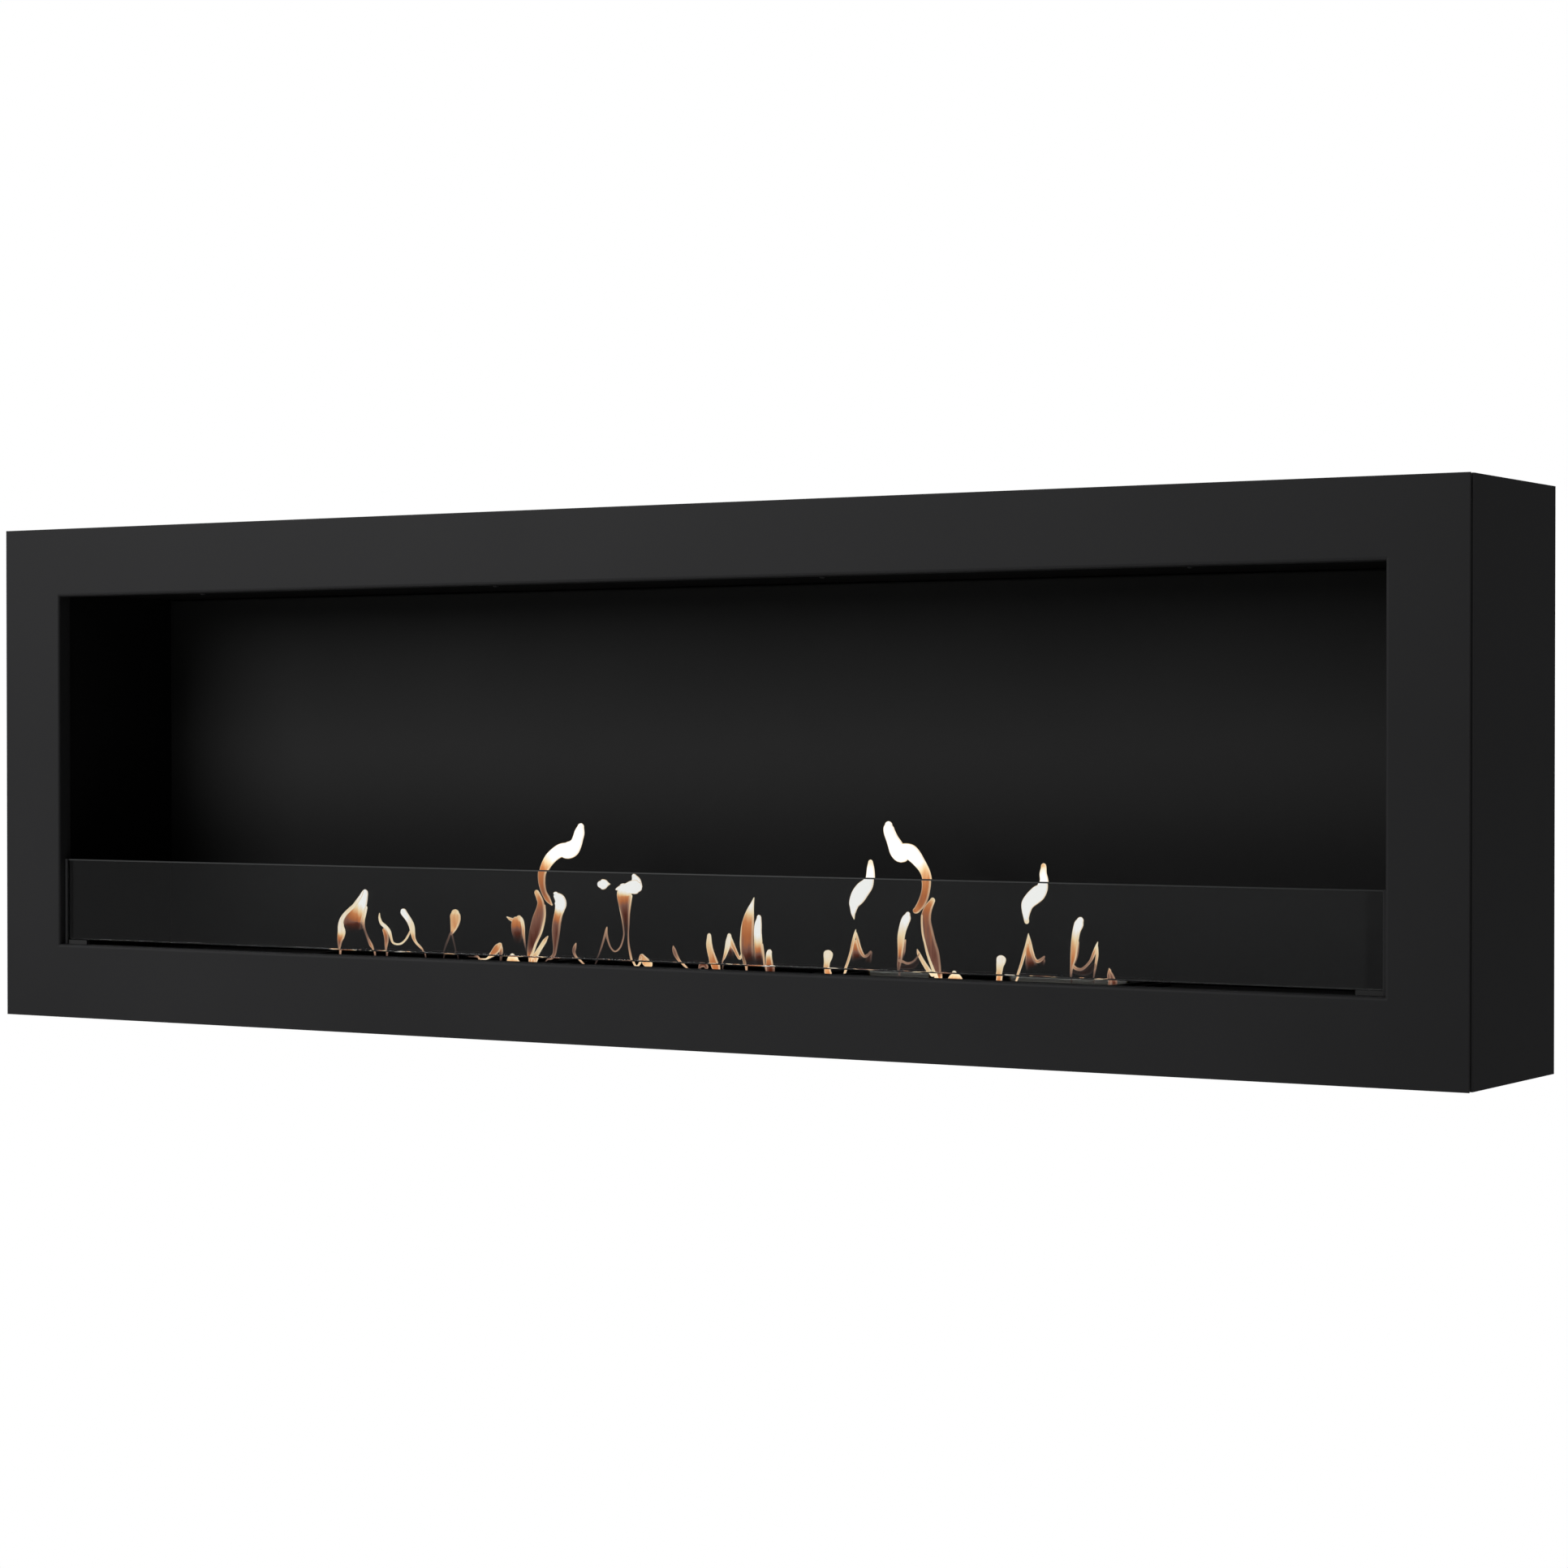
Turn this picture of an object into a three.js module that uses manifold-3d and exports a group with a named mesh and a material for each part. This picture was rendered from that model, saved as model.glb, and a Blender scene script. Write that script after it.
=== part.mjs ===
// Wall-hung bio-ethanol fireplace: a double-walled steel casing behind a wide flat fascia, an open firebox,
// three lift-out burners with sliding shutters, and a low glass guard that stands in two end channels.
// Millimetres, +Z up. The room is at -Y and the wall at +Y. The origin is on the wall, at the middle of the
// wall rail's flat back.
import * as THREE from "three";
import { mergeVertices } from "three/addons/utils/BufferGeometryUtils.js";
import Module from "manifold-3d";

const wasm = await Module();
wasm.setup();

// ---------------------------------------------------------------- driving dimensions
const WIDTH = 1755; // outside of the casing
const HEIGHT = 550;
const DEPTH = 220; // wall to front face

const SIDE_MEMBER = 80; // fascia: face width beside, above and below the opening
const TOP_MEMBER = 76;
const BOTTOM_MEMBER = 82;

const FASCIA_SHEET = 2;
const FASCIA_RETURN = 18; // depth of the fold that lines the mouth of the opening
const CASING_SHEET = 2;
const LINER_SHEET = 1.5;
const BEND = 1; // inside radius of the large folds
const TIGHT_BEND = 0.5; // of the small channels, the guides and the hanger
const CLEARANCE = 0.3; // between pieces that are welded, screwed or rest on each other

const SEAM_HEIGHT = 6; // shadow line between fascia and casing
const SEAM_DEPTH = 6;
const GASKET_WIDTH = 12;

const FRONT_FLANGE = 24; // casing panels: width of the fold behind the fascia
const REAR_FLANGE = 16;
const LINER_LAP = 14; // overlap of the firebox flanges behind the casing flanges

const BACK_GAP = 16; // air between the firebox back and the rear panel
const BACK_FLANGE_SHORT = 4; // firebox rear flanges to the rear panel
const DECK_DROP = 10; // deck surface below the lip of the opening
const APRON_FOOT = 8; // height of the deck's front apron above the casing's floor

const REAR_PANEL_SHEET = 1.5;
const REAR_PANEL_SETBACK = 12.5; // space for the rails between rear panel and wall
const VENT_LENGTH = 44;
const VENT_HEIGHT = 6;
const VENT_COUNT = 15;
const VENTS_FROM_SIDE = 245; // casing side to the middle of the first vent
const LOW_VENTS = 44; // height above the casing's bottom
const HIGH_VENTS = 22; // below its top

const BURNER_COUNT = 3;
const BURNERS_FROM_SIDE = 300; // side of the opening to the first fuel box
const BURNER_SPACING = 20; // between fuel boxes
const BURNER_SHEET = 1.5;
const BURNER_FROM_FRONT = 66; // fascia's face to the front of the fuel box
const BURNER_FROM_BACK = 20; // firebox back to the back of the fuel box
const BURNER_HEIGHT = 58;
const BURNER_CORNER = 12;
const BURNER_PLAY = 2; // gap round the fuel box in its cut-out
const RIM_OVERHANG = 8; // of the burner's top plate past its box
const SLOT_FROM_END = 12; // end of the fuel box to the end of the slot
const SLOT_FROM_FRONT = 2; // front of the fuel box to the slot
const SLOT_TO_SHUTTER = 2; // with the shutter open
const SLOT_CORNER = 8;
const WOOL_PLAY = 1.5;
const WOOL_BELOW_RIM = 6;

const SHUTTER_SHEET = 1.5;
const SHUTTER_LAP_ENDS = 8; // past each end of the slot
const SHUTTER_LAP_SIDES = 6; // past each long edge of the slot
const SHUTTER_FROM_BACK = 4; // open shutter to the back of the fuel box
const SHUTTER_FOLD = 5; // upturned long edges
const SHUTTER_HOLE = 4; // radius of the two holes for the hook
const SHUTTER_HOLE_FROM_END = 45;
const GUIDE_SHEET = 1.2;
const GUIDE_LIP = 5;
const GUIDE_FOOT = 8;
const GUIDE_PLAY = 0.5;

const GLASS_THICKNESS = 5;
const GLASS_HEIGHT = 91;
const GLASS_ABOVE_LIP = 5;
const GLASS_SETBACK = 9.5; // front face to the front of the glass
const CHANNEL_SHEET = 1.5;
const CHANNEL_LEG = 4.5;
const PAD_LENGTH = 30;

const RIB_WIDTH = 16;
const RIB_SETBACK = 15; // both ends of a rib from the front and the rear of the deck
const OUTER_RIB_FROM_SIDE = 175; // of the opening
const HAT_CROWN = 40;
const HAT_FOOT = 15;
const HAT_COUNT = 3;
const HAT_SHORTER = 40; // than the back wall
const SHIELD_FROM_SIDE = 127; // casing side to the end of the shield
const SHIELD_CROWN = 120;
const SHIELD_FOOT = 14;
const SHIELD_HEIGHT = 36;

const RAIL_FROM_SIDE = 227; // casing side to the end of both rails
const RAIL_SHEET = 2;
const RAIL_FROM_TOP = 45; // casing top to hanger top
const RAIL_PLATE = 24; // flat part fixed to the rear panel
const RAIL_HOOK = 20; // leg that hooks over the wall rail
const RAIL_JOG = 6; // how far the leg stands off the plate
const WALL_RAIL_LEG = 25; // stands off the wall, behind the hanger's plate
const WALL_RAIL_FLAT = 36; // lies on the wall
const WALL_RAIL_SLOT = 24;
const WALL_RAIL_SLOT_RADIUS = 4;
const WALL_RAIL_SLOTS = 6;
const BUMPER_RADIUS = 14;
const BUMPER_FROM_SIDE = 177;
const BUMPER_FROM_BOTTOM = 60;

const RIVET_SHANK = 2.4; // radius
const RIVET_HEAD = 4.2;
const RIVET_DOME = 1.8;
const RIVET_COUNT = 6;
const SCREW_SHANK = 1.6;
const SCREW_HEAD = 3.2;
const SCREW_DOME = 1.8;
const SCREW_LENGTH = 7;
const SCREW_COUNT = 4;

// ---------------------------------------------------------------- derived places
const FRONT = -DEPTH;
const OPENING = {
  left: -WIDTH / 2 + SIDE_MEMBER,
  right: WIDTH / 2 - SIDE_MEMBER,
  bottom: BOTTOM_MEMBER,
  top: HEIGHT - TOP_MEMBER,
};
const OUTLINE = { left: -WIDTH / 2, right: WIDTH / 2, bottom: 0, top: HEIGHT };
const MOUTH = OPENING.right - OPENING.left;
const CASING_FRONT = FRONT + FASCIA_SHEET + SEAM_HEIGHT;
const LINER_FRONT = CASING_FRONT + CASING_SHEET + CLEARANCE;
const INSIDE = WIDTH / 2 - CASING_SHEET; // inner face of a casing side
const LINER_INSIDE = OPENING.right + FASCIA_SHEET + CLEARANCE; // inner face of a firebox side
const CEILING = OPENING.top + FASCIA_SHEET + CLEARANCE; // underside of the firebox top
const DECK = BOTTOM_MEMBER - DECK_DROP; // top of the deck
const REAR_PANEL_OUTSIDE = -REAR_PANEL_SETBACK;
const REAR_PANEL_INSIDE = REAR_PANEL_OUTSIDE - REAR_PANEL_SHEET;
const BACK_WALL = REAR_PANEL_INSIDE - BACK_GAP; // room side of the firebox back
const LINER_REAR = REAR_PANEL_INSIDE - BACK_FLANGE_SHORT;
const BURNER_ROW = MOUTH - 2 * BURNERS_FROM_SIDE;
const BURNER_LENGTH = (BURNER_ROW - (BURNER_COUNT - 1) * BURNER_SPACING) / BURNER_COUNT;
const BURNER_PITCH = BURNER_LENGTH + BURNER_SPACING;
const BURNER_FRONT = FRONT + BURNER_FROM_FRONT;
const BURNER_WIDTH = BACK_WALL - BURNER_FROM_BACK - BURNER_FRONT;
const BURNER_Y = BURNER_FRONT + BURNER_WIDTH / 2;
const RIM_Z = DECK + CLEARANCE; // underside of the burner's top plate
const SLOT_LENGTH = BURNER_LENGTH - 2 * SLOT_FROM_END;
const SLOT_AND_SHUTTER = BURNER_WIDTH - SLOT_FROM_FRONT - SLOT_TO_SHUTTER - SHUTTER_FROM_BACK;
const SLOT_WIDTH = SLOT_AND_SHUTTER / 2 - SHUTTER_LAP_SIDES;
const SLOT_Y = SLOT_FROM_FRONT + SLOT_WIDTH / 2 - BURNER_WIDTH / 2; // from the middle of the burner
const SHUTTER_LENGTH = SLOT_LENGTH + 2 * SHUTTER_LAP_ENDS;
const SHUTTER_WIDTH = SLOT_WIDTH + 2 * SHUTTER_LAP_SIDES;
const SHUTTER_TRAVEL = SLOT_WIDTH + SLOT_TO_SHUTTER + SHUTTER_LAP_SIDES;
const RAIL_LENGTH = WIDTH - 2 * RAIL_FROM_SIDE;
const HANGER_TOP = HEIGHT - RAIL_FROM_TOP;
const HANGER_FACE = REAR_PANEL_OUTSIDE + CLEARANCE; // of the plate, against the rear panel
const HOOK_Z = HANGER_TOP - RAIL_PLATE; // where the hanger jogs away from the panel
const WALL_RAIL_TOP = HOOK_Z - CLEARANCE;
const WALL_RAIL_STEP = WALL_RAIL_TOP - WALL_RAIL_LEG; // where it jogs back to the wall
const WALL_RAIL_BOTTOM = WALL_RAIL_STEP - 2 * RAIL_SHEET - WALL_RAIL_FLAT;
const ORIGIN_Z = WALL_RAIL_BOTTOM + WALL_RAIL_FLAT / 2;

// ---------------------------------------------------------------- finishes
const finish = (color, roughness, metalness, extra = {}) =>
  new THREE.MeshStandardMaterial({ color, roughness, metalness, ...extra });
const powderCoat = finish(0x202020, 0.45, 0.1);
const firePaint = finish(0x1a1a1a, 0.6, 0.1);
const stainless = finish(0x9a9a98, 0.35, 1);
const galvanised = finish(0x8d9194, 0.5, 1);
const fibre = finish(0xd8d2c4, 1, 0);
const rubber = finish(0x151515, 0.8, 0);
const gasketFelt = finish(0x0c0c0c, 0.95, 0);
const glass = finish(0x8fa0a0, 0.05, 0, { transparent: true, opacity: 0.35 });
const zinc = finish(0x9c9c9a, 0.4, 1);

// ---------------------------------------------------------------- geometry helpers
const ARC_STEPS = 4;
const point = (x, y) => new THREE.Vector2(x, y);

// Shifts an open line to its left by a distance, with mitred corners.
function offsetLine(line, distance) {
  return line.map((here, i) => {
    const before = line[i - 1] ?? here;
    const after = line[i + 1] ?? here;
    const arriving = here.clone().sub(before).normalize();
    const leaving = after.clone().sub(here).normalize();
    const along = arriving.add(leaving).normalize();
    const step = i > 0 ? here.clone().sub(before).normalize() : along;
    const half = Math.max(along.dot(step), 0.1);
    return point(here.x - (along.y * distance) / half, here.y + (along.x * distance) / half);
  });
}

// Replaces the inner corners of an open line with arcs.
function roundedLine(line, radius) {
  return line.flatMap((corner, i) => {
    if (i === 0 || i === line.length - 1) return [corner];
    const back = line[i - 1].clone().sub(corner).normalize();
    const on = line[i + 1].clone().sub(corner).normalize();
    const halfAngle = Math.acos(THREE.MathUtils.clamp(back.dot(on), -1, 1)) / 2;
    const centre = back.clone().add(on).normalize().multiplyScalar(radius / Math.sin(halfAngle)).add(corner);
    const from = back.multiplyScalar(radius / Math.tan(halfAngle)).add(corner).sub(centre);
    const to = on.multiplyScalar(radius / Math.tan(halfAngle)).add(corner).sub(centre);
    const turn = Math.atan2(from.cross(to), from.dot(to));
    return Array.from({ length: ARC_STEPS + 1 }, (_, k) =>
      from.clone().rotateAround(point(0, 0), (turn * k) / ARC_STEPS).add(centre));
  });
}

// Section of a folded sheet. face is one face as a line of corners, and the sheet lies to its left.
function foldedSection(face, thickness, bend = BEND) {
  const middle = roundedLine(offsetLine(face, thickness / 2), bend + thickness / 2);
  return new THREE.Shape([
    ...offsetLine(middle, -thickness / 2),
    ...offsetLine(middle, thickness / 2).reverse(),
  ]);
}

// Rectangle with rounded corners, as a list of points, counter-clockwise.
function roundedRectangle(width, height, radius, steps = ARC_STEPS) {
  const corners = [[1, 1], [-1, 1], [-1, -1], [1, -1]];
  return corners.flatMap(([sx, sy], quarter) =>
    Array.from({ length: steps + 1 }, (_, k) => {
      const angle = ((quarter + k / steps) * Math.PI) / 2;
      return point(
        sx * (width / 2 - radius) + radius * Math.cos(angle),
        sy * (height / 2 - radius) + radius * Math.sin(angle));
    }));
}

const extrude = (shape, depth) =>
  new THREE.ExtrudeGeometry(shape, { depth, bevelEnabled: false, steps: 1, curveSegments: ARC_STEPS });

// Six times the volume inside a skin, negative where its faces point inwards.
function signedVolume(positions, faces) {
  const corner = (index) => new THREE.Vector3().fromArray(positions, 3 * index);
  let total = 0;
  for (let i = 0; i < faces.length; i += 3) {
    total += corner(faces[i]).dot(corner(faces[i + 1]).cross(corner(faces[i + 2])));
  }
  return total;
}

// Skin over loops of equally many points. An open run of loops is capped at both ends; a closed one makes a ring.
function skin(loops, closed) {
  const count = loops[0].length;
  const positions = loops.flat().flatMap((p) => [p.x, p.y, p.z]);
  const faces = [];
  const spans = closed ? loops.length : loops.length - 1;
  for (let i = 0; i < spans; i++) {
    const low = i * count;
    const high = ((i + 1) % loops.length) * count;
    for (let k = 0; k < count; k++) {
      const next = (k + 1) % count;
      faces.push(low + k, low + next, high + next, low + k, high + next, high + k);
    }
  }
  if (!closed) {
    const last = (loops.length - 1) * count;
    for (let k = 1; k < count - 1; k++) {
      faces.push(0, k + 1, k, last, last + k, last + k + 1);
    }
  }
  if (signedVolume(positions, faces) < 0) faces.reverse();
  const geometry = new THREE.BufferGeometry();
  geometry.setAttribute("position", new THREE.Float32BufferAttribute(positions, 3));
  geometry.setIndex(faces);
  geometry.computeVertexNormals();
  return geometry;
}

function toSolid(geometry) {
  const bare = geometry.clone();
  bare.deleteAttribute("normal");
  bare.deleteAttribute("uv");
  const merged = mergeVertices(bare, 1e-4);
  return new wasm.Manifold(new wasm.Mesh({
    numProp: 3,
    vertProperties: merged.attributes.position.array,
    triVerts: new Uint32Array(merged.index.array),
  }));
}

function fromSolid(solid) {
  const mesh = solid.getMesh();
  const geometry = new THREE.BufferGeometry();
  geometry.setAttribute("position", new THREE.BufferAttribute(new Float32Array(mesh.vertProperties), 3));
  geometry.setIndex(new THREE.BufferAttribute(new Uint32Array(mesh.triVerts), 1));
  geometry.computeVertexNormals();
  return geometry;
}

const cut = (geometry, tools) =>
  fromSolid(tools.reduce((solid, tool) => solid.subtract(toSolid(tool)), toSolid(geometry)));

// Cutting tools, already in place.
const block = (x0, x1, y0, y1, z0, z1) =>
  new THREE.BoxGeometry(x1 - x0, y1 - y0, z1 - z0)
    .translate((x0 + x1) / 2, (y0 + y1) / 2, (z0 + z1) / 2);
const drill = (radius, length) => new THREE.CylinderGeometry(radius, radius, length, 16);

// Turns a section's own x, y and extrusion onto the axes of the part.
const turned = (x, y, z) =>
  new THREE.Quaternion().setFromRotationMatrix(new THREE.Matrix4().makeBasis(x, y, z));
const X = new THREE.Vector3(1, 0, 0);
const Y = new THREE.Vector3(0, 1, 0);
const Z = new THREE.Vector3(0, 0, 1);
const ALONG_X = turned(Y, Z, X); // section drawn in y, z
const ALONG_Z = turned(X, Y, Z); // section drawn in x, y
const TO_ROOM = turned(X, Z, Y.clone().negate()); // section drawn in x, z, extruded towards the room

function place(parent, name, geometry, material, { at = [0, 0, 0], facing = ALONG_Z } = {}) {
  const mesh = new THREE.Mesh(geometry, material);
  mesh.name = name;
  mesh.position.set(...at);
  mesh.quaternion.copy(facing);
  parent.add(mesh);
  return mesh;
}

// Places of a row of equal items, centred on zero.
const row = (count, pitch) => Array.from({ length: count }, (_, i) => (i - (count - 1) / 2) * pitch);

const part = new THREE.Group();
const fireplace = new THREE.Group();
fireplace.position.z = -ORIGIN_Z;
part.add(fireplace);

// ---------------------------------------------------------------- fascia
// A rectangle in the x, z plane at one depth, grown or shrunk by a margin on every side.
function frameLoop(frame, margin, y) {
  const { left, right, bottom, top } = frame;
  return [
    new THREE.Vector3(left - margin, y, bottom - margin),
    new THREE.Vector3(right + margin, y, bottom - margin),
    new THREE.Vector3(right + margin, y, top + margin),
    new THREE.Vector3(left - margin, y, top + margin),
  ];
}

// Loops of a fold from the front face into the mouth of the opening, at one radius.
function mouthFold(radius, frontY, inset) {
  const centreY = FRONT + BEND + FASCIA_SHEET;
  return Array.from({ length: ARC_STEPS + 1 }, (_, k) => {
    const angle = (k / ARC_STEPS) * (Math.PI / 2);
    return frameLoop(OPENING, BEND + FASCIA_SHEET - radius * Math.sin(angle) + inset,
      centreY - radius * Math.cos(angle) + frontY);
  });
}

function fasciaGeometry() {
  const returnEnd = FRONT + FASCIA_RETURN;
  const outside = mouthFold(BEND + FASCIA_SHEET, 0, 0);
  const inside = mouthFold(BEND, 0, 0).reverse();
  return skin([
    frameLoop(OUTLINE, 0, FRONT),
    ...outside,
    frameLoop(OPENING, 0, returnEnd),
    frameLoop(OPENING, FASCIA_SHEET, returnEnd),
    ...inside,
    frameLoop(OUTLINE, 0, FRONT + FASCIA_SHEET),
  ], true);
}

// The fascia is screwed up into the firebox through the return over the opening.
const screwY = FRONT + FASCIA_RETURN - SCREW_HEAD - CLEARANCE;
const screwPlaces = row(SCREW_COUNT, MOUTH / SCREW_COUNT);
const screwHoles = screwPlaces.map((x) =>
  drill(SCREW_SHANK + CLEARANCE, 8 * FASCIA_SHEET).rotateX(Math.PI / 2)
    .translate(x, screwY, OPENING.top));

place(fireplace, "front_fascia", cut(fasciaGeometry(), screwHoles), powderCoat);

const gasketBack = CASING_FRONT - CLEARANCE;
const gasketFront = FRONT + FASCIA_SHEET + CLEARANCE;
place(fireplace, "fascia_gasket", skin([
  frameLoop(OUTLINE, -SEAM_DEPTH, gasketFront),
  frameLoop(OUTLINE, -SEAM_DEPTH - GASKET_WIDTH, gasketFront),
  frameLoop(OUTLINE, -SEAM_DEPTH - GASKET_WIDTH, gasketBack),
  frameLoop(OUTLINE, -SEAM_DEPTH, gasketBack),
], true), gasketFelt);

// ---------------------------------------------------------------- casing
// Section of a casing panel in the plane across it: u is the depth and v is measured from its outer face inwards.
const casingSection = () => foldedSection([
  point(CASING_FRONT, FRONT_FLANGE),
  point(CASING_FRONT, 0),
  point(0, 0),
  point(0, REAR_FLANGE),
], CASING_SHEET);

// Side panels run the full height. Their flanges stop short of those of the top and the floor.
function sidePanel() {
  const reach = FRONT_FLANGE + 1;
  const notches = [[FRONT_FLANGE, CASING_FRONT - 1, CASING_FRONT / 2], [REAR_FLANGE, CASING_FRONT / 2, 1]]
    .flatMap(([flange, from, to]) => {
      const length = flange + CLEARANCE;
      return [
        block(from, to, CASING_SHEET, reach, -1, length),
        block(from, to, CASING_SHEET, reach, HEIGHT - length, HEIGHT + 1),
      ];
    });
  return cut(extrude(casingSection(), HEIGHT), notches);
}

const RIGHT_SIDE = turned(Y, X.clone().negate(), Z);
const LEFT_SIDE = turned(Y, X, Z.clone().negate());
place(fireplace, "casing_right", sidePanel(), powderCoat, { at: [WIDTH / 2, 0, 0], facing: RIGHT_SIDE });
place(fireplace, "casing_left", sidePanel(), powderCoat, { at: [-WIDTH / 2, 0, HEIGHT], facing: LEFT_SIDE });

const panelLength = 2 * (INSIDE - CLEARANCE);
place(fireplace, "casing_floor", extrude(casingSection(), panelLength), powderCoat,
  { at: [-panelLength / 2, 0, 0], facing: ALONG_X });
place(fireplace, "casing_top", extrude(casingSection(), panelLength), powderCoat,
  { at: [panelLength / 2, 0, HEIGHT], facing: turned(Y, Z.clone().negate(), X.clone().negate()) });

// ---------------------------------------------------------------- rear panel
// A shallow tray that opens towards the wall, with two rows of vents for the air between the walls.
const rearFrame = {
  left: -INSIDE + CLEARANCE,
  right: INSIDE - CLEARANCE,
  bottom: CASING_SHEET + CLEARANCE,
  top: HEIGHT - CASING_SHEET - CLEARANCE,
};

// Loops of a tray whose floor faces the room at floorY and whose rim reaches back to rimY.
function trayGeometry(frame, sheet, floorY, rimY) {
  const fold = (radius) => Array.from({ length: ARC_STEPS + 1 }, (_, k) => {
    const angle = (k / ARC_STEPS) * (Math.PI / 2);
    const centre = BEND + sheet;
    return frameLoop(frame, -centre + radius * Math.sin(angle), floorY + centre - radius * Math.cos(angle));
  });
  return skin([
    ...fold(BEND + sheet),
    frameLoop(frame, 0, rimY),
    frameLoop(frame, -sheet, rimY),
    ...fold(BEND).reverse(),
  ], false);
}

const obround = (length, radius) =>
  new THREE.Shape(roundedRectangle(length, 2 * radius, radius - 1e-3));

const ventTool = (x, z) =>
  extrude(obround(VENT_LENGTH, VENT_HEIGHT / 2), 4 * REAR_PANEL_SHEET)
    .rotateX(Math.PI / 2).translate(x, REAR_PANEL_OUTSIDE + REAR_PANEL_SHEET, z);
const ventPitch = (WIDTH - 2 * VENTS_FROM_SIDE) / (VENT_COUNT - 1);
const vents = [LOW_VENTS, HEIGHT - HIGH_VENTS].flatMap((z) =>
  row(VENT_COUNT, ventPitch).map((x) => ventTool(x, z)));

const rivetZ = HANGER_TOP - RAIL_PLATE / 2;
const rivetPlaces = row(RIVET_COUNT, RAIL_LENGTH / RIVET_COUNT);
const rivetHoles = rivetPlaces.map((x) =>
  drill(RIVET_SHANK + CLEARANCE, 4 * REAR_PANEL_SETBACK).translate(x, REAR_PANEL_INSIDE, rivetZ));

place(fireplace, "rear_panel", cut(
  trayGeometry(rearFrame, REAR_PANEL_SHEET, REAR_PANEL_INSIDE, -CASING_SHEET - BEND - CLEARANCE),
  [...vents, ...rivetHoles]), galvanised);

// ---------------------------------------------------------------- firebox
// The firebox walls meet the casing's front flanges from behind and line the opening behind the fascia's return.
const linerFlangeReach = WIDTH / 2 - FRONT_FLANGE + LINER_LAP;
const linerTopReach = HEIGHT - FRONT_FLANGE + LINER_LAP;
const linerSideFoot = DECK - 2 * FRONT_FLANGE;

function fireboxSide() {
  const section = foldedSection([
    point(linerFlangeReach, LINER_FRONT + LINER_SHEET),
    point(LINER_INSIDE + LINER_SHEET, LINER_FRONT + LINER_SHEET),
    point(LINER_INSIDE + LINER_SHEET, LINER_REAR),
  ], LINER_SHEET);
  return extrude(section, CEILING - CLEARANCE - linerSideFoot);
}

place(fireplace, "firebox_right", fireboxSide(), firePaint, { at: [0, 0, linerSideFoot] });
place(fireplace, "firebox_left", fireboxSide(), firePaint,
  { at: [0, 0, CEILING - CLEARANCE], facing: turned(X.clone().negate(), Y, Z.clone().negate()) });

const ceilingLength = 2 * (LINER_INSIDE + LINER_SHEET);
const ceilingSection = foldedSection([
  point(LINER_FRONT, linerTopReach),
  point(LINER_FRONT, CEILING),
  point(LINER_REAR, CEILING),
  point(LINER_REAR, CEILING + LINER_REAR - BACK_WALL),
], LINER_SHEET);
const ceilingSheet = extrude(ceilingSection, ceilingLength)
  .applyQuaternion(ALONG_X).translate(-ceilingLength / 2, 0, 0);
place(fireplace, "firebox_top", cut(ceilingSheet, screwHoles), firePaint);

const backFrame = {
  left: -LINER_INSIDE + CLEARANCE,
  right: LINER_INSIDE - CLEARANCE,
  bottom: DECK + CLEARANCE,
  top: CEILING - CLEARANCE,
};
place(fireplace, "firebox_back", trayGeometry(backFrame, LINER_SHEET, BACK_WALL, LINER_REAR), firePaint);

// ---------------------------------------------------------------- deck and what stiffens it
const cutOut = (x) => extrude(new THREE.Shape(roundedRectangle(
  BURNER_LENGTH + 2 * BURNER_PLAY, BURNER_WIDTH + 2 * BURNER_PLAY, BURNER_CORNER + BURNER_PLAY)),
4 * LINER_SHEET).translate(x, BURNER_Y, DECK - 2 * LINER_SHEET);

const deckLength = 2 * (LINER_INSIDE - CLEARANCE);
const deckSection = foldedSection([
  point(LINER_REAR, DECK),
  point(LINER_FRONT, DECK),
  point(LINER_FRONT, CASING_SHEET + APRON_FOOT),
], LINER_SHEET);
const deckSheet = extrude(deckSection, deckLength)
  .applyQuaternion(ALONG_X).translate(-deckLength / 2, 0, 0);
place(fireplace, "burner_deck", cut(deckSheet, row(BURNER_COUNT, BURNER_PITCH).map(cutOut)), firePaint);

const ribHeight = DECK - LINER_SHEET - CASING_SHEET - 2 * CLEARANCE;
const ribSection = () => foldedSection([
  point(RIB_WIDTH / 2, 0),
  point(-RIB_WIDTH / 2, 0),
  point(-RIB_WIDTH / 2, ribHeight),
  point(RIB_WIDTH / 2, ribHeight),
].reverse(), LINER_SHEET);
const ribRear = LINER_REAR - RIB_SETBACK;
const ribLength = ribRear - (LINER_FRONT + RIB_SETBACK);
const outerRib = OPENING.right - OUTER_RIB_FROM_SIDE;
const ribPlaces = [-outerRib, ...row(BURNER_COUNT - 1, BURNER_PITCH), outerRib];
ribPlaces.forEach((x, i) => place(fireplace, `deck_rib_${i + 1}`, extrude(ribSection(), ribLength),
  galvanised, { at: [x, ribRear, CASING_SHEET + CLEARANCE], facing: TO_ROOM }));

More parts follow.
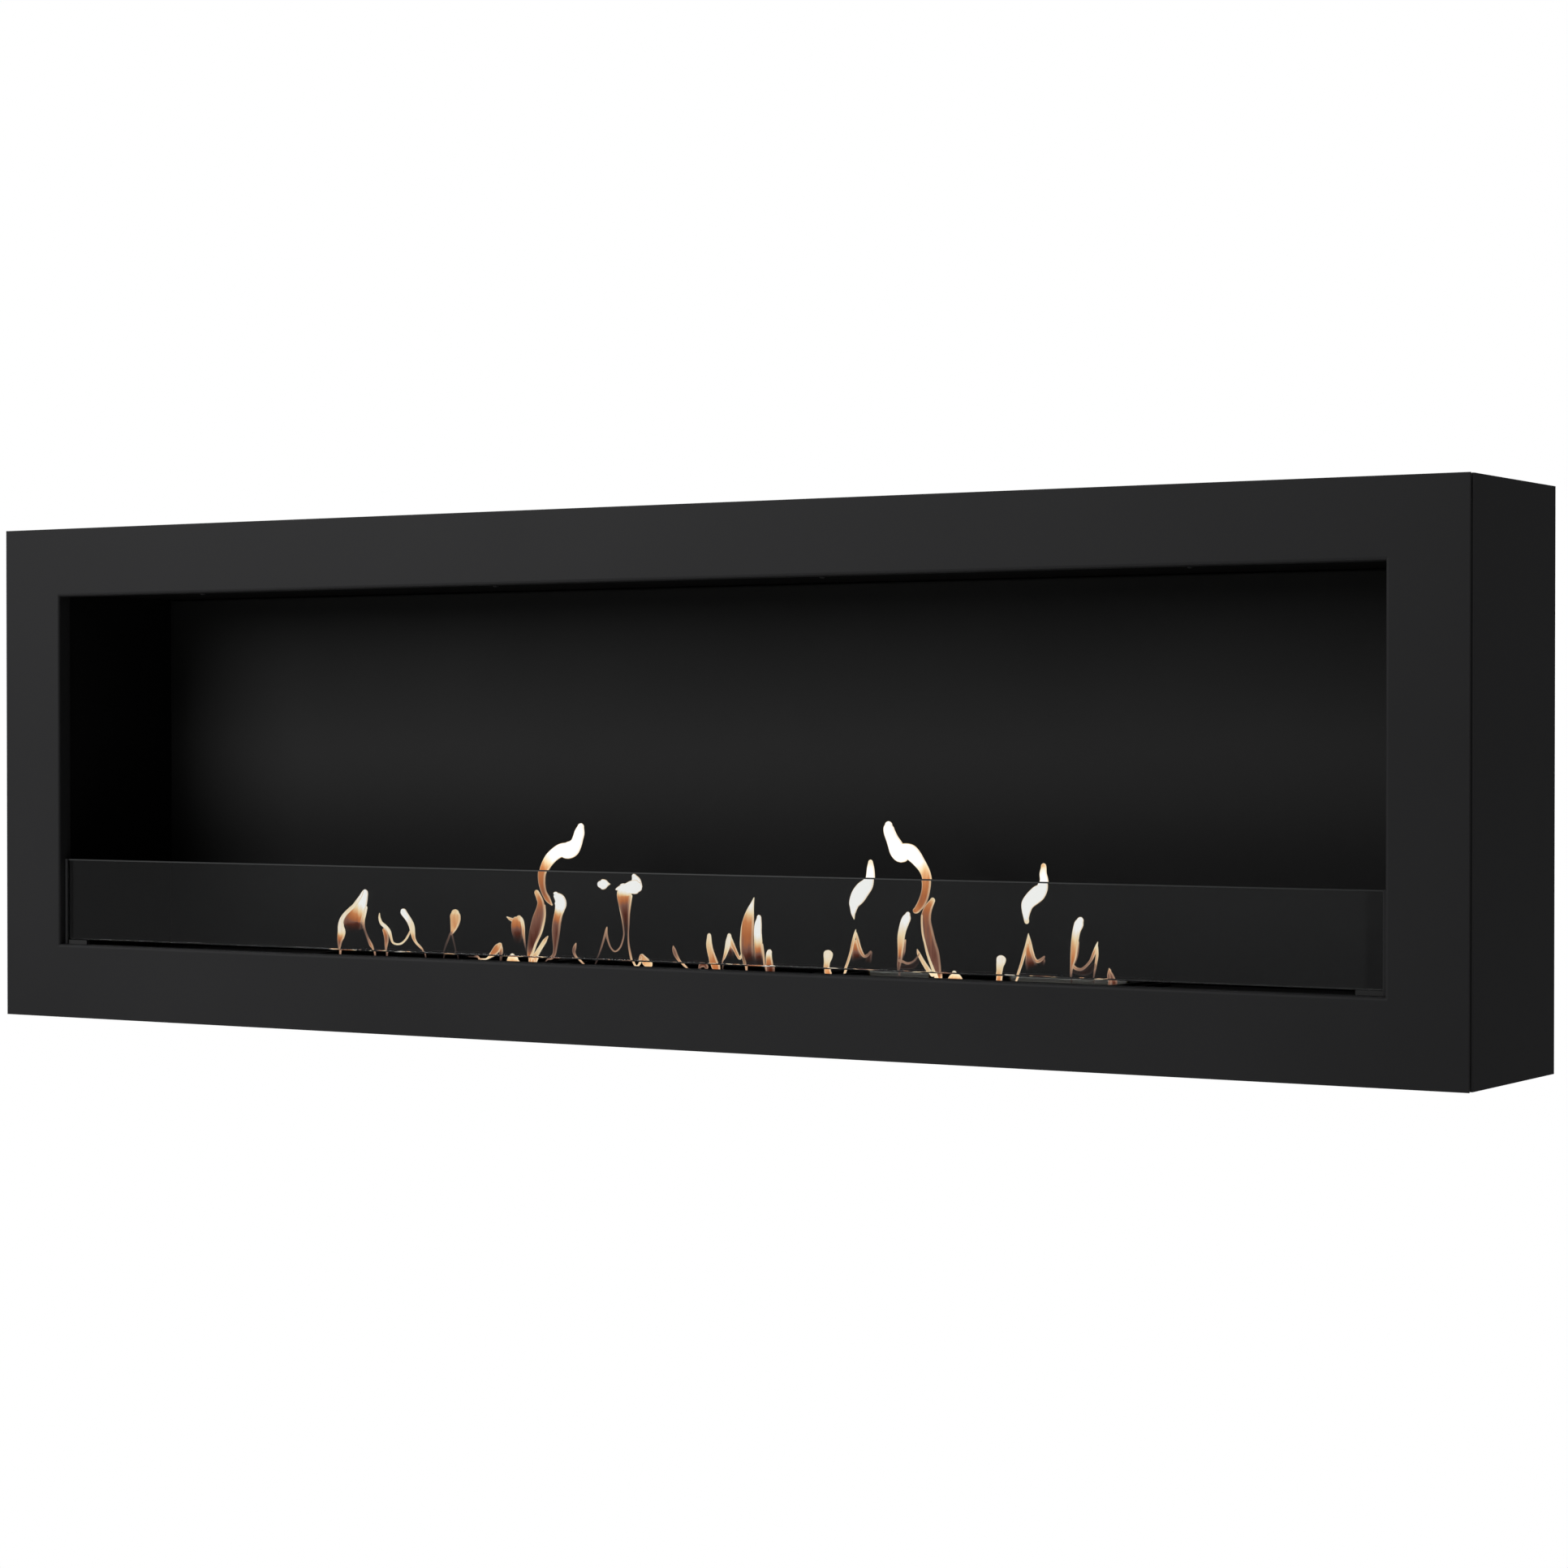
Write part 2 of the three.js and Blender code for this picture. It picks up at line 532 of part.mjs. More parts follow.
// Top-hat stiffeners hold the firebox back off the rear panel.
const hatDepth = REAR_PANEL_INSIDE - (BACK_WALL + LINER_SHEET) - 2 * CLEARANCE;
const hatSection = () => foldedSection([
  point(-HAT_CROWN / 2 - HAT_FOOT, -LINER_SHEET),
  point(-HAT_CROWN / 2, -LINER_SHEET),
  point(-HAT_CROWN / 2, -hatDepth),
  point(HAT_CROWN / 2, -hatDepth),
  point(HAT_CROWN / 2, -LINER_SHEET),
  point(HAT_CROWN / 2 + HAT_FOOT, -LINER_SHEET),
], LINER_SHEET);
const hatLength = backFrame.top - backFrame.bottom - 2 * HAT_SHORTER;
row(HAT_COUNT, MOUTH / HAT_COUNT).forEach((x, i) =>
  place(fireplace, `back_stiffener_${i + 1}`, extrude(hatSection(), hatLength), galvanised,
    { at: [x, REAR_PANEL_INSIDE - CLEARANCE, backFrame.bottom + HAT_SHORTER] }));

// The heat shield stands on the firebox top, under the casing top.
const shieldMiddle = (LINER_FRONT + LINER_REAR) / 2;
const shieldFloor = CEILING + LINER_SHEET + CLEARANCE;
const shieldLength = WIDTH - 2 * SHIELD_FROM_SIDE;
place(fireplace, "heat_shield", extrude(foldedSection([
  point(shieldMiddle - SHIELD_CROWN / 2 - SHIELD_FOOT, shieldFloor),
  point(shieldMiddle - SHIELD_CROWN / 2, shieldFloor),
  point(shieldMiddle - SHIELD_CROWN / 2, shieldFloor + SHIELD_HEIGHT),
  point(shieldMiddle + SHIELD_CROWN / 2, shieldFloor + SHIELD_HEIGHT),
  point(shieldMiddle + SHIELD_CROWN / 2, shieldFloor),
  point(shieldMiddle + SHIELD_CROWN / 2 + SHIELD_FOOT, shieldFloor),
], LINER_SHEET), shieldLength), galvanised, { at: [-shieldLength / 2, 0, 0], facing: ALONG_X });

// ---------------------------------------------------------------- burners
// A burner hangs by its top plate in a cut-out of the deck. Its own frame starts on the deck at its middle.
function fuelBox() {
  const top = 0;
  const bottom = top - BURNER_HEIGHT;
  const loop = (inset, z) =>
    roundedRectangle(BURNER_LENGTH - 2 * inset, BURNER_WIDTH - 2 * inset, BURNER_CORNER - inset)
      .map((p) => new THREE.Vector3(p.x, p.y, z));
  const bottomFold = BURNER_SHEET + BEND;
  return skin([
    loop(bottomFold, bottom),
    loop(bottomFold * (1 - Math.SQRT1_2), bottom + bottomFold * (1 - Math.SQRT1_2)),
    loop(0, bottom + bottomFold),
    loop(0, top),
    loop(BURNER_SHEET, top),
    loop(BURNER_SHEET, bottom + bottomFold),
    loop(bottomFold, bottom + BURNER_SHEET),
  ], false);
}

function topPlate() {
  const plate = new THREE.Shape(roundedRectangle(
    BURNER_LENGTH + 2 * RIM_OVERHANG, BURNER_WIDTH + 2 * RIM_OVERHANG, BURNER_CORNER));
  plate.holes.push(new THREE.Path(roundedRectangle(SLOT_LENGTH, SLOT_WIDTH, SLOT_CORNER)
    .map((p) => point(p.x, p.y + SLOT_Y)).reverse()));
  return extrude(plate, BURNER_SHEET);
}

function wool() {
  const inset = BURNER_SHEET + WOOL_PLAY;
  const outline = roundedRectangle(BURNER_LENGTH - 2 * inset, BURNER_WIDTH - 2 * inset,
    BURNER_CORNER - inset);
  return extrude(new THREE.Shape(outline),
    BURNER_HEIGHT - BURNER_SHEET - CLEARANCE - WOOL_BELOW_RIM);
}

// The shutter has its long edges turned up, cut away at the ends where the guides hold it.
function shutter() {
  const section = foldedSection([
    point(-SHUTTER_WIDTH / 2, SHUTTER_FOLD),
    point(-SHUTTER_WIDTH / 2, 0),
    point(SHUTTER_WIDTH / 2, 0),
    point(SHUTTER_WIDTH / 2, SHUTTER_FOLD),
  ], SHUTTER_SHEET);
  const plate = extrude(section, SHUTTER_LENGTH).applyQuaternion(ALONG_X)
    .translate(-SHUTTER_LENGTH / 2, 0, 0);
  const clearOfGuide = SHUTTER_LENGTH / 2 - GUIDE_LIP - 2 * GUIDE_PLAY;
  const notch = (side) => block(
    Math.min(side * clearOfGuide, side * SHUTTER_LENGTH), Math.max(side * clearOfGuide, side * SHUTTER_LENGTH),
    -SHUTTER_WIDTH, SHUTTER_WIDTH, SHUTTER_SHEET, 2 * SHUTTER_FOLD);
  const hookHole = (side) => drill(SHUTTER_HOLE, 4 * SHUTTER_SHEET).rotateX(Math.PI / 2)
    .translate(side * (SHUTTER_LENGTH / 2 - SHUTTER_HOLE_FROM_END), 0, SHUTTER_SHEET / 2);
  return cut(plate, [notch(-1), notch(1), hookHole(-1), hookHole(1)]);
}

// A guide is a folded strip: a foot on the top plate, an upright beside the shutter and a lip over its end.
function guide() {
  const upright = SHUTTER_SHEET + 2 * GUIDE_PLAY;
  const section = foldedSection([
    point(GUIDE_SHEET + GUIDE_FOOT, 0),
    point(0, 0),
    point(0, upright),
    point(-GUIDE_LIP, upright),
  ].reverse(), GUIDE_SHEET, TIGHT_BEND);
  return extrude(section, BURNER_WIDTH + RIM_OVERHANG);
}

function addBurner(name, x) {
  const burner = new THREE.Group();
  burner.position.set(x, BURNER_Y, RIM_Z);
  fireplace.add(burner);
  const plateTop = BURNER_SHEET + CLEARANCE;
  const shutterOpenY = SLOT_Y + SHUTTER_TRAVEL;
  const guideX = SHUTTER_LENGTH / 2 + GUIDE_PLAY;
  const guideHalf = (BURNER_WIDTH + RIM_OVERHANG) / 2;
  place(burner, `${name}_box`, fuelBox(), stainless, { at: [0, 0, -CLEARANCE] });
  place(burner, `${name}_top_plate`, topPlate(), stainless);
  place(burner, `${name}_wool`, wool(), fibre, { at: [0, 0, -BURNER_HEIGHT + BURNER_SHEET] });
  place(burner, `${name}_shutter`, shutter(), stainless, { at: [0, shutterOpenY, plateTop] });
  place(burner, `${name}_guide_right`, guide(), stainless,
    { at: [guideX, guideHalf, plateTop], facing: TO_ROOM });
  place(burner, `${name}_guide_left`, guide(), stainless,
    { at: [-guideX, -guideHalf, plateTop], facing: turned(X.clone().negate(), Z, Y) });
}

const burnerNames = ["burner_left", "burner_centre", "burner_right"];
row(BURNER_COUNT, BURNER_PITCH).forEach((x, i) => addBurner(burnerNames[i], x));

// ---------------------------------------------------------------- glass guard
const glassFront = FRONT + GLASS_SETBACK;
const glassBottom = OPENING.bottom + GLASS_ABOVE_LIP;
const channelWeb = OPENING.right - CLEARANCE; // outer face of a channel, against the fascia's return
const glassHalf = channelWeb - CHANNEL_SHEET - CLEARANCE;
place(fireplace, "glass_guard", new THREE.BoxGeometry(2 * glassHalf, GLASS_THICKNESS, GLASS_HEIGHT),
  glass, { at: [0, glassFront + GLASS_THICKNESS / 2, glassBottom + GLASS_HEIGHT / 2] });

const channelFront = glassFront - CLEARANCE - CHANNEL_SHEET;
const channelBack = glassFront + GLASS_THICKNESS + CLEARANCE + CHANNEL_SHEET;
const channelHeight = GLASS_ABOVE_LIP + GLASS_HEIGHT - CLEARANCE;
const channelSection = () => foldedSection([
  point(channelWeb - CHANNEL_LEG, channelFront),
  point(channelWeb, channelFront),
  point(channelWeb, channelBack),
  point(channelWeb - CHANNEL_LEG, channelBack),
], CHANNEL_SHEET, TIGHT_BEND);
const channelFoot = OPENING.bottom + CLEARANCE;
place(fireplace, "glass_channel_right", extrude(channelSection(), channelHeight), powderCoat,
  { at: [0, 0, channelFoot] });
place(fireplace, "glass_channel_left", extrude(channelSection(), channelHeight), powderCoat,
  { at: [0, 0, channelFoot + channelHeight], facing: turned(X.clone().negate(), Y, Z.clone().negate()) });

const padHeight = GLASS_ABOVE_LIP - 2 * CLEARANCE;
for (const [name, side] of [["glass_pad_left", -1], ["glass_pad_right", 1]]) {
  const padMiddle = glassHalf - PAD_LENGTH / 2;
  place(fireplace, name, new THREE.BoxGeometry(PAD_LENGTH, GLASS_THICKNESS, padHeight), rubber,
    { at: [side * padMiddle, glassFront + GLASS_THICKNESS / 2, channelFoot + padHeight / 2] });
}

// ---------------------------------------------------------------- hanging hardware
// The hanger is fixed to the rear panel. Its leg drops over the upright leg of the wall rail.
place(fireplace, "hanger_rail", (() => {
  const hookFace = HANGER_FACE + RAIL_JOG;
  const rail = extrude(foldedSection([
    point(HANGER_FACE, HANGER_TOP),
    point(HANGER_FACE, HOOK_Z),
    point(hookFace, HOOK_Z),
    point(hookFace, HOOK_Z - RAIL_HOOK),
  ], RAIL_SHEET, TIGHT_BEND), RAIL_LENGTH).applyQuaternion(ALONG_X).translate(-RAIL_LENGTH / 2, 0, 0);
  return cut(rail, rivetHoles);
})(), galvanised);

place(fireplace, "wall_rail", (() => {
  const legFace = HANGER_FACE + RAIL_JOG - CLEARANCE;
  const rail = extrude(foldedSection([
    point(legFace, WALL_RAIL_TOP),
    point(legFace, WALL_RAIL_STEP),
    point(0, WALL_RAIL_STEP),
    point(0, WALL_RAIL_BOTTOM),
  ].reverse(), RAIL_SHEET), RAIL_LENGTH).applyQuaternion(ALONG_X).translate(-RAIL_LENGTH / 2, 0, 0);
  const slots = row(WALL_RAIL_SLOTS, RAIL_LENGTH / WALL_RAIL_SLOTS).map((x) =>
    extrude(obround(WALL_RAIL_SLOT, WALL_RAIL_SLOT_RADIUS), 4 * RAIL_SHEET)
      .rotateX(Math.PI / 2).translate(x, RAIL_SHEET, WALL_RAIL_BOTTOM + WALL_RAIL_FLAT / 2));
  return cut(rail, slots);
})(), galvanised);

const bumperLength = REAR_PANEL_SETBACK - CLEARANCE;
const bumperProfile = [
  point(0, 0),
  point(BUMPER_RADIUS, 0),
  point(BUMPER_RADIUS, bumperLength * 0.7),
  point(BUMPER_RADIUS * 0.8, bumperLength),
  point(0, bumperLength),
];
for (const [name, side] of [["wall_bumper_left", -1], ["wall_bumper_right", 1]]) {
  place(fireplace, name, new THREE.LatheGeometry(bumperProfile, 24), rubber,
    { at: [side * (WIDTH / 2 - BUMPER_FROM_SIDE), REAR_PANEL_OUTSIDE + CLEARANCE, BUMPER_FROM_BOTTOM] });
}

// ---------------------------------------------------------------- fasteners
// A domed head on a shank, turned about y with its head at +y; a tail head closes a rivet at the other end.
function domed(headRadius, dome, shankRadius, shankLength, tail) {
  const steps = 3;
  const profile = [point(0, -shankLength - (tail ? dome : 0))];
  if (tail) {
    profile.push(point(headRadius * 0.8, -shankLength - dome), point(headRadius * 0.8, -shankLength));
  }
  profile.push(point(shankRadius, -shankLength), point(shankRadius, 0));
  for (let k = 0; k < steps; k++) {
    const angle = ((k / steps) * Math.PI) / 2;
    profile.push(point(headRadius * Math.cos(angle), dome * Math.sin(angle)));
  }
  profile.push(point(0, dome));
  return new THREE.LatheGeometry(profile, 16);
}

const rivetGrip = RAIL_SHEET + REAR_PANEL_SHEET + 3 * CLEARANCE;
rivetPlaces.forEach((x, i) => place(fireplace, `hanger_rivet_${i + 1}`,
  domed(RIVET_HEAD, RIVET_DOME, RIVET_SHANK, rivetGrip, true), zinc,
  { at: [x, HANGER_FACE + RAIL_SHEET + CLEARANCE, rivetZ] }));

screwPlaces.forEach((x, i) => place(fireplace, `fascia_screw_${i + 1}`,
  domed(SCREW_HEAD, SCREW_DOME, SCREW_SHANK, SCREW_LENGTH, false), powderCoat,
  { at: [x, screwY, OPENING.top - CLEARANCE], facing: turned(X, Z.clone().negate(), Y) }));

export default part;
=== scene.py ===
# %% [markdown]
# # A wall-hung ethanol fireplace, dressed in Blender
#
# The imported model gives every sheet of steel, the burners, the glass and the hanging hardware.
# This lesson gives them their finishes, lays real pieces over the soft and the ground ones,
# lights the flames, and sets up the room. Each step says what the real thing is, how it could
# be made here, and why this way was chosen.

import math

import bmesh
import bpy
from mathutils import Matrix, Vector, noise


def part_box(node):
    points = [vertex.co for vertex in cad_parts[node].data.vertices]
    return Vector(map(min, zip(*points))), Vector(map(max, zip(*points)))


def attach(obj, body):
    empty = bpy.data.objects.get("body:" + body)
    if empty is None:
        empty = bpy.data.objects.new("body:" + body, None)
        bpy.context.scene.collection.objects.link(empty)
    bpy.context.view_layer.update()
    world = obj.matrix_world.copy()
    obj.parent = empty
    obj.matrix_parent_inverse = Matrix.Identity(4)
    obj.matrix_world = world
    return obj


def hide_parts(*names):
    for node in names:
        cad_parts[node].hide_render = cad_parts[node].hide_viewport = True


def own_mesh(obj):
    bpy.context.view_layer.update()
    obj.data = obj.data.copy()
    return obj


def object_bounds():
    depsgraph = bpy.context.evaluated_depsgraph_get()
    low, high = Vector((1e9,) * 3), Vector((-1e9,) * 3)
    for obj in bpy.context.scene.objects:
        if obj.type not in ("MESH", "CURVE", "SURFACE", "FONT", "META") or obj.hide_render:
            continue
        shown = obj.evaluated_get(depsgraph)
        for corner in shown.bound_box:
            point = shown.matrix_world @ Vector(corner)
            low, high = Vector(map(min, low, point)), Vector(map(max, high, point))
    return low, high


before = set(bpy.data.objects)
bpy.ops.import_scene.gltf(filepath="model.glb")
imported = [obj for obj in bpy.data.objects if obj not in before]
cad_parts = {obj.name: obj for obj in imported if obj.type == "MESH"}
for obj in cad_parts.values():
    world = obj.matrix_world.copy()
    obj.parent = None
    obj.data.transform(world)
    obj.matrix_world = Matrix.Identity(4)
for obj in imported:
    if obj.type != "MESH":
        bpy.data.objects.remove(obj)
cad_box = [list(corner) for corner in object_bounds()]
print("box from", [round(v, 4) for v in cad_box[0]], "to", [round(v, 4) for v in cad_box[1]])

# %% [markdown]
# ## Units, colours and nodes
#
# Blender works in metres and in linear light, and a finish is thought of in millimetres and
# in the hex colours of a paint card. Two small functions turn one into the other. The others
# open a finish, add a node with its settings and links, and fill a colour ramp, so that each
# finish reads as a short recipe.

# %% Small helpers for sizes, colours and nodes
MM = 0.001


def paint(code):
    """A hex colour from a paint card as the linear colour that Blender's sockets take."""
    parts = [int(code[i:i + 2], 16) / 255 for i in (1, 3, 5)]
    linear = [c / 12.92 if c <= 0.04045 else ((c + 0.055) / 1.055) ** 2.4 for c in parts]
    return (*linear, 1.0)


def per_size(size_mm):
    """The scale of a texture whose marks are about this many millimetres across."""
    return 1.0 / (size_mm * MM)


def add_node(tree, kind, settings=None, links=None):
    """Adds one node. Settings and links go by a socket's name, or its number if names repeat."""
    made = tree.nodes.new(kind)
    for name, value in (settings or {}).items():
        if isinstance(name, int) or name in made.inputs:
            made.inputs[name].default_value = value
        else:
            setattr(made, name, value)
    for name, source in (links or {}).items():
        tree.links.new(source, made.inputs[name])
    return made


def new_finish(name):
    """An empty node material, and its tree."""
    material = bpy.data.materials.new(name)
    material.use_nodes = True
    material.node_tree.nodes.clear()
    return material, material.node_tree


def set_ramp(ramp_node, stops):
    """Gives a colour ramp its stops, each a place from 0 to 1 and a linear colour."""
    ramp = ramp_node.color_ramp
    while len(ramp.elements) < len(stops):
        ramp.elements.new(0.5)
    for element, (place, colour) in zip(ramp.elements, stops):
        element.position = place
        element.color = colour


print("mid grey #808080 is", round(paint("#808080")[0], 3), "in linear light")

# %% [markdown]
# ## Powder coat on the casing
#
# The fascia and the casing are mild steel sprayed with polyester powder, then baked, and so are
# the glass channels and the fascia's screws. It leaves a matt black skin about 80 micrometres
# thick. The eye sees three things: a very fine orange peel, a slow change of sheen where the
# film is thicker or thinner, and edges that are a little lighter, because powder pulls away
# from a sharp edge. A flat black would lose all three.
# The Bevel node rounds the sheet's edges in the shading alone, and comparing its normal with
# the true one also tells where an edge is.

# %% Sheet paint, used for the casing and for the firebox
# A noise seldom leaves this span, so this is the part of it that is mapped to a roughness.
NOISE_SPAN = {"From Min": 0.3, "From Max": 0.7}
# The film grows thicker and thinner over about this length, as the spray gun passes.
FILM_MM = 240.0
# The upper edge of the soot and painted shade wanders up and down by this much.
SOOT_AND_SHADE_RAGGED = 40 * MM


def sheet_paint(name, body, thin, peel_mm, peel_depth_mm, gloss, shine, edge_mm, soot_and_shade=None):
    """Paint on folded steel. Soot with painted shade is two heights to fade between, and a colour.
    """
    material, tree = new_finish(name)
    place = add_node(tree, "ShaderNodeTexCoord").outputs["Object"]
    peel = add_node(tree, "ShaderNodeTexNoise", {"Scale": per_size(peel_mm), "Detail": 2.0},
                    {"Vector": place})
    film = add_node(tree, "ShaderNodeTexNoise", {"Scale": per_size(FILM_MM), "Detail": 3.0},
                    {"Vector": place})
    tone = add_node(tree, "ShaderNodeMix", {"data_type": "RGBA", 6: paint(body), 7: paint(thin)},
                    {0: film.outputs["Fac"]})
    sheen = add_node(tree, "ShaderNodeMapRange",
                     {**NOISE_SPAN, "To Min": gloss[0], "To Max": gloss[1]},
                     {"Value": film.outputs["Fac"]})
    rounded = add_node(tree, "ShaderNodeBevel", {"samples": 4, "Radius": edge_mm * MM})
    flat = add_node(tree, "ShaderNodeNewGeometry").outputs["Normal"]
    same = add_node(tree, "ShaderNodeVectorMath", {"operation": "DOT_PRODUCT"},
                    {0: rounded.outputs["Normal"], 1: flat})
    # The two normals agree on the flat, and part where the coat is thin on an edge.
    worn = add_node(tree, "ShaderNodeMapRange",
                    {"From Min": 0.995, "From Max": 0.80, "To Min": 0.0, "To Max": 0.55},
                    {"Value": same.outputs["Value"]})
    colour = add_node(tree, "ShaderNodeMix", {"data_type": "RGBA", 7: paint("#4a4a4a")},
                      {0: worn.outputs[0], 6: tone.outputs[2]})
    bump = add_node(tree, "ShaderNodeBump", {"Strength": 0.6, "Distance": peel_depth_mm * MM},
                    {"Height": peel.outputs["Fac"], "Normal": rounded.outputs["Normal"]})
    # Darker towards the bottom: soot, and painted shade low in the firebox.
    if soot_and_shade:
        height = add_node(tree, "ShaderNodeSeparateXYZ", links={0: place})
        ragged = add_node(tree, "ShaderNodeMath", {"operation": "MULTIPLY_ADD", 1: SOOT_AND_SHADE_RAGGED},
                          {0: film.outputs["Fac"], 2: height.outputs["Z"]})
        soot_and_shade_mask = add_node(tree, "ShaderNodeMapRange",
                          {"interpolation_type": "SMOOTHSTEP",
                           "From Min": soot_and_shade[1] + SOOT_AND_SHADE_RAGGED / 2,
                           "From Max": soot_and_shade[0] + SOOT_AND_SHADE_RAGGED / 2}, {"Value": ragged.outputs[0]})
        colour = add_node(tree, "ShaderNodeMix", {"data_type": "RGBA", 7: paint(soot_and_shade[2])},
                          {0: soot_and_shade_mask.outputs[0], 6: colour.outputs[2]})
    shader = add_node(tree, "ShaderNodeBsdfPrincipled", {"Specular IOR Level": shine},
                      {"Base Color": colour.outputs[2], "Roughness": sheen.outputs[0],
                       "Normal": bump.outputs["Normal"]})
    add_node(tree, "ShaderNodeOutputMaterial", links={"Surface": shader.outputs[0]})
    return material


# The peel of real powder is 1 to 2 mm across. It is drawn at 3 mm, so that a close view shows it.
powder_coat = sheet_paint("powder_coat_matt_black", "#272728", "#2d2d2e", peel_mm=3.0,
                          peel_depth_mm=0.035, gloss=(0.46, 0.56), shine=0.12, edge_mm=1.0)
print("finish:", powder_coat.name)

# %% [markdown]
# ## Heat-resistant paint in the firebox
#
# Silicone paint with an aluminium-free black pigment is sprayed thin and cured by heat. It is
# rougher and drier than powder, with a grain like very fine sandpaper and hardly any gloss.
# The same recipe serves, with a finer peel and a rougher sheen. Soot and painted shade darken the
# deck and the lowest hand's breadth of the back wall, and fade upwards with a ragged edge. The
# end walls and the ceiling get the paint again, darker and drier: the darker colour is painted
# shade for these shaded walls.

# %% The firebox finishes
deck_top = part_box("burner_deck")[1].z
# Soot and painted shade make the deck and the lowest part of the back wall near-black.
settled_soot_and_shade = (deck_top + 95 * MM, deck_top + 240 * MM, "#060606")
dry_skin = {"peel_mm": 1.6, "peel_depth_mm": 0.05, "edge_mm": 0.8, "soot_and_shade": settled_soot_and_shade}

fire_paint = sheet_paint("heat_resistant_paint_black", "#262626", "#2b2b2b",
                         gloss=(0.55, 0.65), shine=0.15, **dry_skin)
# The end walls and the ceiling: a darker copy of the paint, which paints their shade.
shaded_fire_paint = sheet_paint("heat_resistant_paint_shaded", "#121212", "#171717",
                           gloss=(0.7, 0.8), shine=0.06, **dry_skin)
print("finishes:", fire_paint.name, shaded_fire_paint.name)

# %% [markdown]
# ## Brushed stainless steel
#
# The burner boxes, top plates and shutters are stainless sheet with a brushed face. The brush
# leaves straight scratches along the length of the burner, each a fraction of a millimetre
# wide and centimetres long. Stretching a noise along X draws them, and anisotropy pulls the
# highlight across them, as on the real sheet. Hands and cloths leave slow patches of sheen.

# %% Brushed stainless steel
# Real brush marks are about 0.1 mm wide. They are drawn at 0.7 mm, so that they show.
BRUSH_LONG_MM, BRUSH_WIDE_MM = 45.0, 0.7


def brushed_stainless(name, tint=None):
    """Stainless sheet with long brush marks along X. A tint is a function that colours it."""
    material, tree = new_finish(name)
    place = add_node(tree, "ShaderNodeTexCoord").outputs["Object"]
    wide = per_size(BRUSH_WIDE_MM)
    along = add_node(tree, "ShaderNodeMapping", {"Scale": (per_size(BRUSH_LONG_MM), wide, wide)},
                     {"Vector": place})
    lines = add_node(tree, "ShaderNodeTexNoise", {"Scale": 1.0, "Detail": 3.0},
                     {"Vector": along.outputs[0]})
    handling = add_node(tree, "ShaderNodeTexNoise", {"Scale": per_size(60.0), "Detail": 2.0},
                        {"Vector": place})
    tone = add_node(tree, "ShaderNodeValToRGB", links={"Fac": lines.outputs["Fac"]})
    set_ramp(tone, [(0.3, paint("#8f8e8b")), (0.7, paint("#b9b8b4"))])
    colour = tone.outputs["Color"]
    if tint:
        colour = add_node(tree, "ShaderNodeMix",
                          {"data_type": "RGBA", "blend_type": "MULTIPLY", 0: 1.0},
                          {6: colour, 7: tint(tree, place, handling.outputs["Fac"])}).outputs[2]
    rough = add_node(tree, "ShaderNodeMapRange", {**NOISE_SPAN, "To Min": 0.26, "To Max": 0.40},
                     {"Value": handling.outputs["Fac"]})
    rounded = add_node(tree, "ShaderNodeBevel", {"samples": 4, "Radius": 0.5 * MM})
    bump = add_node(tree, "ShaderNodeBump", {"Strength": 0.35, "Distance": 0.02 * MM},
                    {"Height": lines.outputs["Fac"], "Normal": rounded.outputs["Normal"]})
    shader = add_node(tree, "ShaderNodeBsdfPrincipled", {"Metallic": 1.0, "Anisotropic": 0.5},
                      {"Base Color": colour, "Roughness": rough.outputs[0],
                       "Normal": bump.outputs["Normal"]})
    add_node(tree, "ShaderNodeOutputMaterial", links={"Surface": shader.outputs[0]})
    return material


stainless = brushed_stainless("stainless_brushed")
print("finish:", stainless.name)

# %% [markdown]
# ## The colours that fire leaves on steel, and painted shade by the slot
#
# Beside the slot the fire has baked a thin oxide and soot onto the steel. The tint is nearly black
# at the slot, which is soot and also painted shade for the dark gap under the glass guard, then
# blue-grey, purple-brown and straw, and fades to bare steel. A ramp over the distance from the
# slot gives these colours, and the brush marks show through them. Two lengths of the right
# shutter's front edge are left bare, with no tint and no painted shade. They show as pale strips
# behind the feet of the flames, so a second ramp, along X, lifts the distance there.

# %% Where the slots are
# The strip of top plate in front of a slot. The open shutter's front edge is the slot's back.
FRONT_RAIL = 10 * MM

slot_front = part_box("burner_centre_top_plate")[0].y + FRONT_RAIL
slot_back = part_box("burner_centre_shutter")[0].y
slot_y = (slot_front + slot_back) / 2
print("slots are", round((slot_back - slot_front) / MM), "mm wide, middle at y", round(slot_y, 4))

# %% Steel baked by the fire
# The temper colours lie between these two distances from the slot's middle line.
TEMPER_NEAR, TEMPER_FAR = 60 * MM, 150 * MM
# Their outlines wander by this much.
TEMPER_RAGGED = 16 * MM
# The bare lengths, with no tint or painted shade, in millimetres along X, with the blend at each
# end and the ramp's own ends.
BARE_LENGTHS_MM = ((195.5, 265.5), (356.5, 486.0))
BARE_BLEND_MM = 3.5
RAMP_FROM_MM, RAMP_TO_MM = 150.0, 500.0
# They reach this far from the slot's middle line at full strength, and have gone by the second.
BARE_NEAR, BARE_GONE = 30 * MM, 50 * MM


def bare_stops():
    """Ramp stops along X: black, with the two bare lengths in white."""
    stops = []
    for start, end in BARE_LENGTHS_MM:
        for x, code in ((start - BARE_BLEND_MM, "#000000"), (start + BARE_BLEND_MM, "#ffffff"),
                        (end - BARE_BLEND_MM, "#ffffff"), (end + BARE_BLEND_MM, "#000000")):
            stops.append(((x - RAMP_FROM_MM) / (RAMP_TO_MM - RAMP_FROM_MM), paint(code)))
    return stops


